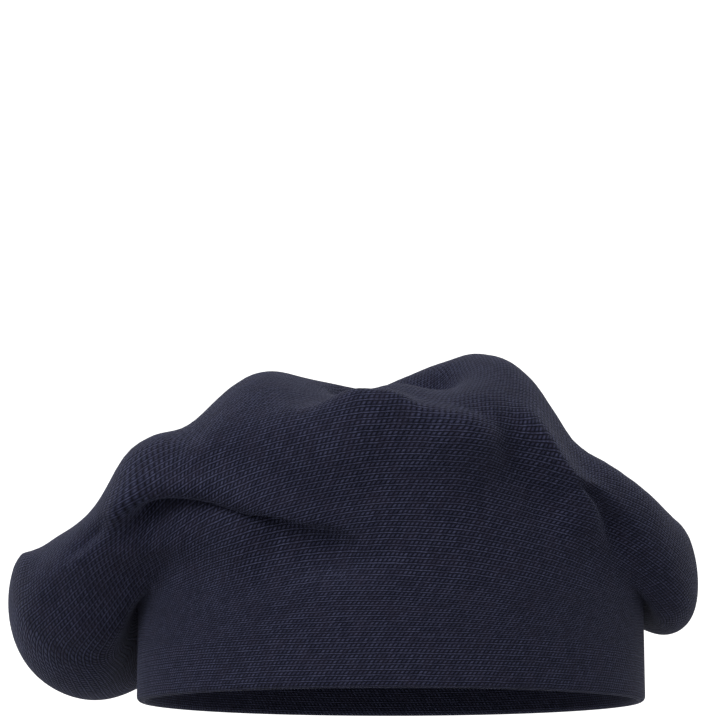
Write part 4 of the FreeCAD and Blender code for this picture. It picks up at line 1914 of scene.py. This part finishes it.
# (x, z) in millimetres and the bands' slant there, in degrees up from level towards the front.
SLANTS: tuple[tuple[float, float, float], ...] = (
    (-98, 84, 68), (-84, 82, 62), (-68, 78, 52), (-50, 72, 40), (-30, 66, 24), (-8, 62, 10), (14, 60, 3),
    (-126, 50, 48), (-110, 52, 42), (-94, 54, 34), (-78, 58, 26), (-60, 56, 14), (-40, 50, 5), (-16, 46, 0),
    (-98, 40, 26), (-80, 42, 12), (-60, 42, 3), (10, 45, 0), (-80, 98, 34), (-60, 100, 30), (-44, 112, 26),
    (-38, 92, 26), (-18, 100, 24), (-14, 80, 20), (4, 84, 16), (20, 92, 12), (20, 74, 4), (40, 74, -4),
    (40, 92, -10), (54, 84, -22), (64, 96, 14), (64, 110, 30), (36, 124, 36), (16, 116, 26), (76, 90, 0),
    (82, 66, -10), (62, 62, -2), (96, 76, -6), (104, 62, -20), (98, 46, -14), (-118, 38, 36), (40, 56, -1),
    (70, 48, -2),
)


# ---------------------------------------------------------------- the beret


class Beret:
    """All of the beret's pieces."""

    def __init__(self) -> None:
        """Shapes the knit's surface and makes its two faces' materials."""
        self.surface = KnitSurface(strokes=STROKES, outline=OUTLINE, slants=SLANTS)
        self.face = KnitFinish("navy_knit").build()
        self.back = KnitFinish("navy_knit_back", side=Side.BACK).build()

    @staticmethod
    def _keep(piece: Any, body: str, slot: str, node: str) -> Any:
        """Fixes a piece to a body in place of a CAD node and logs it.

        Args:
            piece: The piece.
            body: The body that it rides on.
            slot: The material slot meant for it; not used.
            node: The node that it replaces.

        Returns:
            The same piece.
        """
        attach(piece, body)
        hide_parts(node)
        LOG.info("%s: %d faces", piece.name, len(piece.data.polygons))
        return piece

    def build(self) -> None:
        """Builds every piece in order."""
        layers = KnitLayers(self.surface, self.face, self.back)
        bag = self._keep(layers.bag(), "beret", "knit", "crown_knit")
        facing = self._keep(layers.facing(), "beret", "knit", "brim_facing")
        tape_cloth = WovenFinish("elastic_weave", (0.010, 0.010, 0.014), (0.045, 0.045, 0.058), 0.7, 0.1)
        tape = ElasticTape(self.surface).build(tape_cloth.build())
        tape = self._keep(tape, "beret", "elastic", "brim_elastic")
        thread = StrandFinish("sewing_thread", (0.008, 0.009, 0.016), (0.050, 0.053, 0.085)).build()
        yarn = StrandFinish("gather_yarn", (0.007, 0.008, 0.015), (0.046, 0.049, 0.082), 520.0,
                            0.9, 0.25).build()
        stitching = Stitching()
        seams = SeamWork(self.surface)
        self._keep(seams.ridge(self.back), "beret", "knit", "seam_ridge")
        self._keep(seams.seam_thread(stitching, thread), "beret", "thread", "seam_stitches")
        self._keep(seams.hem_thread(stitching, thread), "beret", "thread", "hem_stitches")
        gather = CrownGather(self.surface)
        self._keep(gather.cord(yarn), "beret", "yarn", "gather_cord")
        self._keep(gather.knot(yarn), "beret", "yarn", "gather_knot")
        cloth = WovenFinish("label_weave", (0.30, 0.30, 0.29), (0.74, 0.73, 0.70)).build()
        label = CareLabel()
        strip = self._keep(label.strip(cloth), "beret", "label", "label_strip")
        self._keep(label.stitches(stitching, thread), "beret", "thread", "label_stitches")
        flap = label.flap(cloth)
        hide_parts("label_flap")
        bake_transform(flap)
        LOG.info("%s: %d faces", flap.name, len(flap.data.polygons))


def main() -> None:
    """Loads the frame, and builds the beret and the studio."""
    logging.basicConfig(level=logging.INFO, format="%(name)s: %(message)s")
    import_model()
    Studio().build()
    Beret().build()


if __name__ == "__main__":
    main()
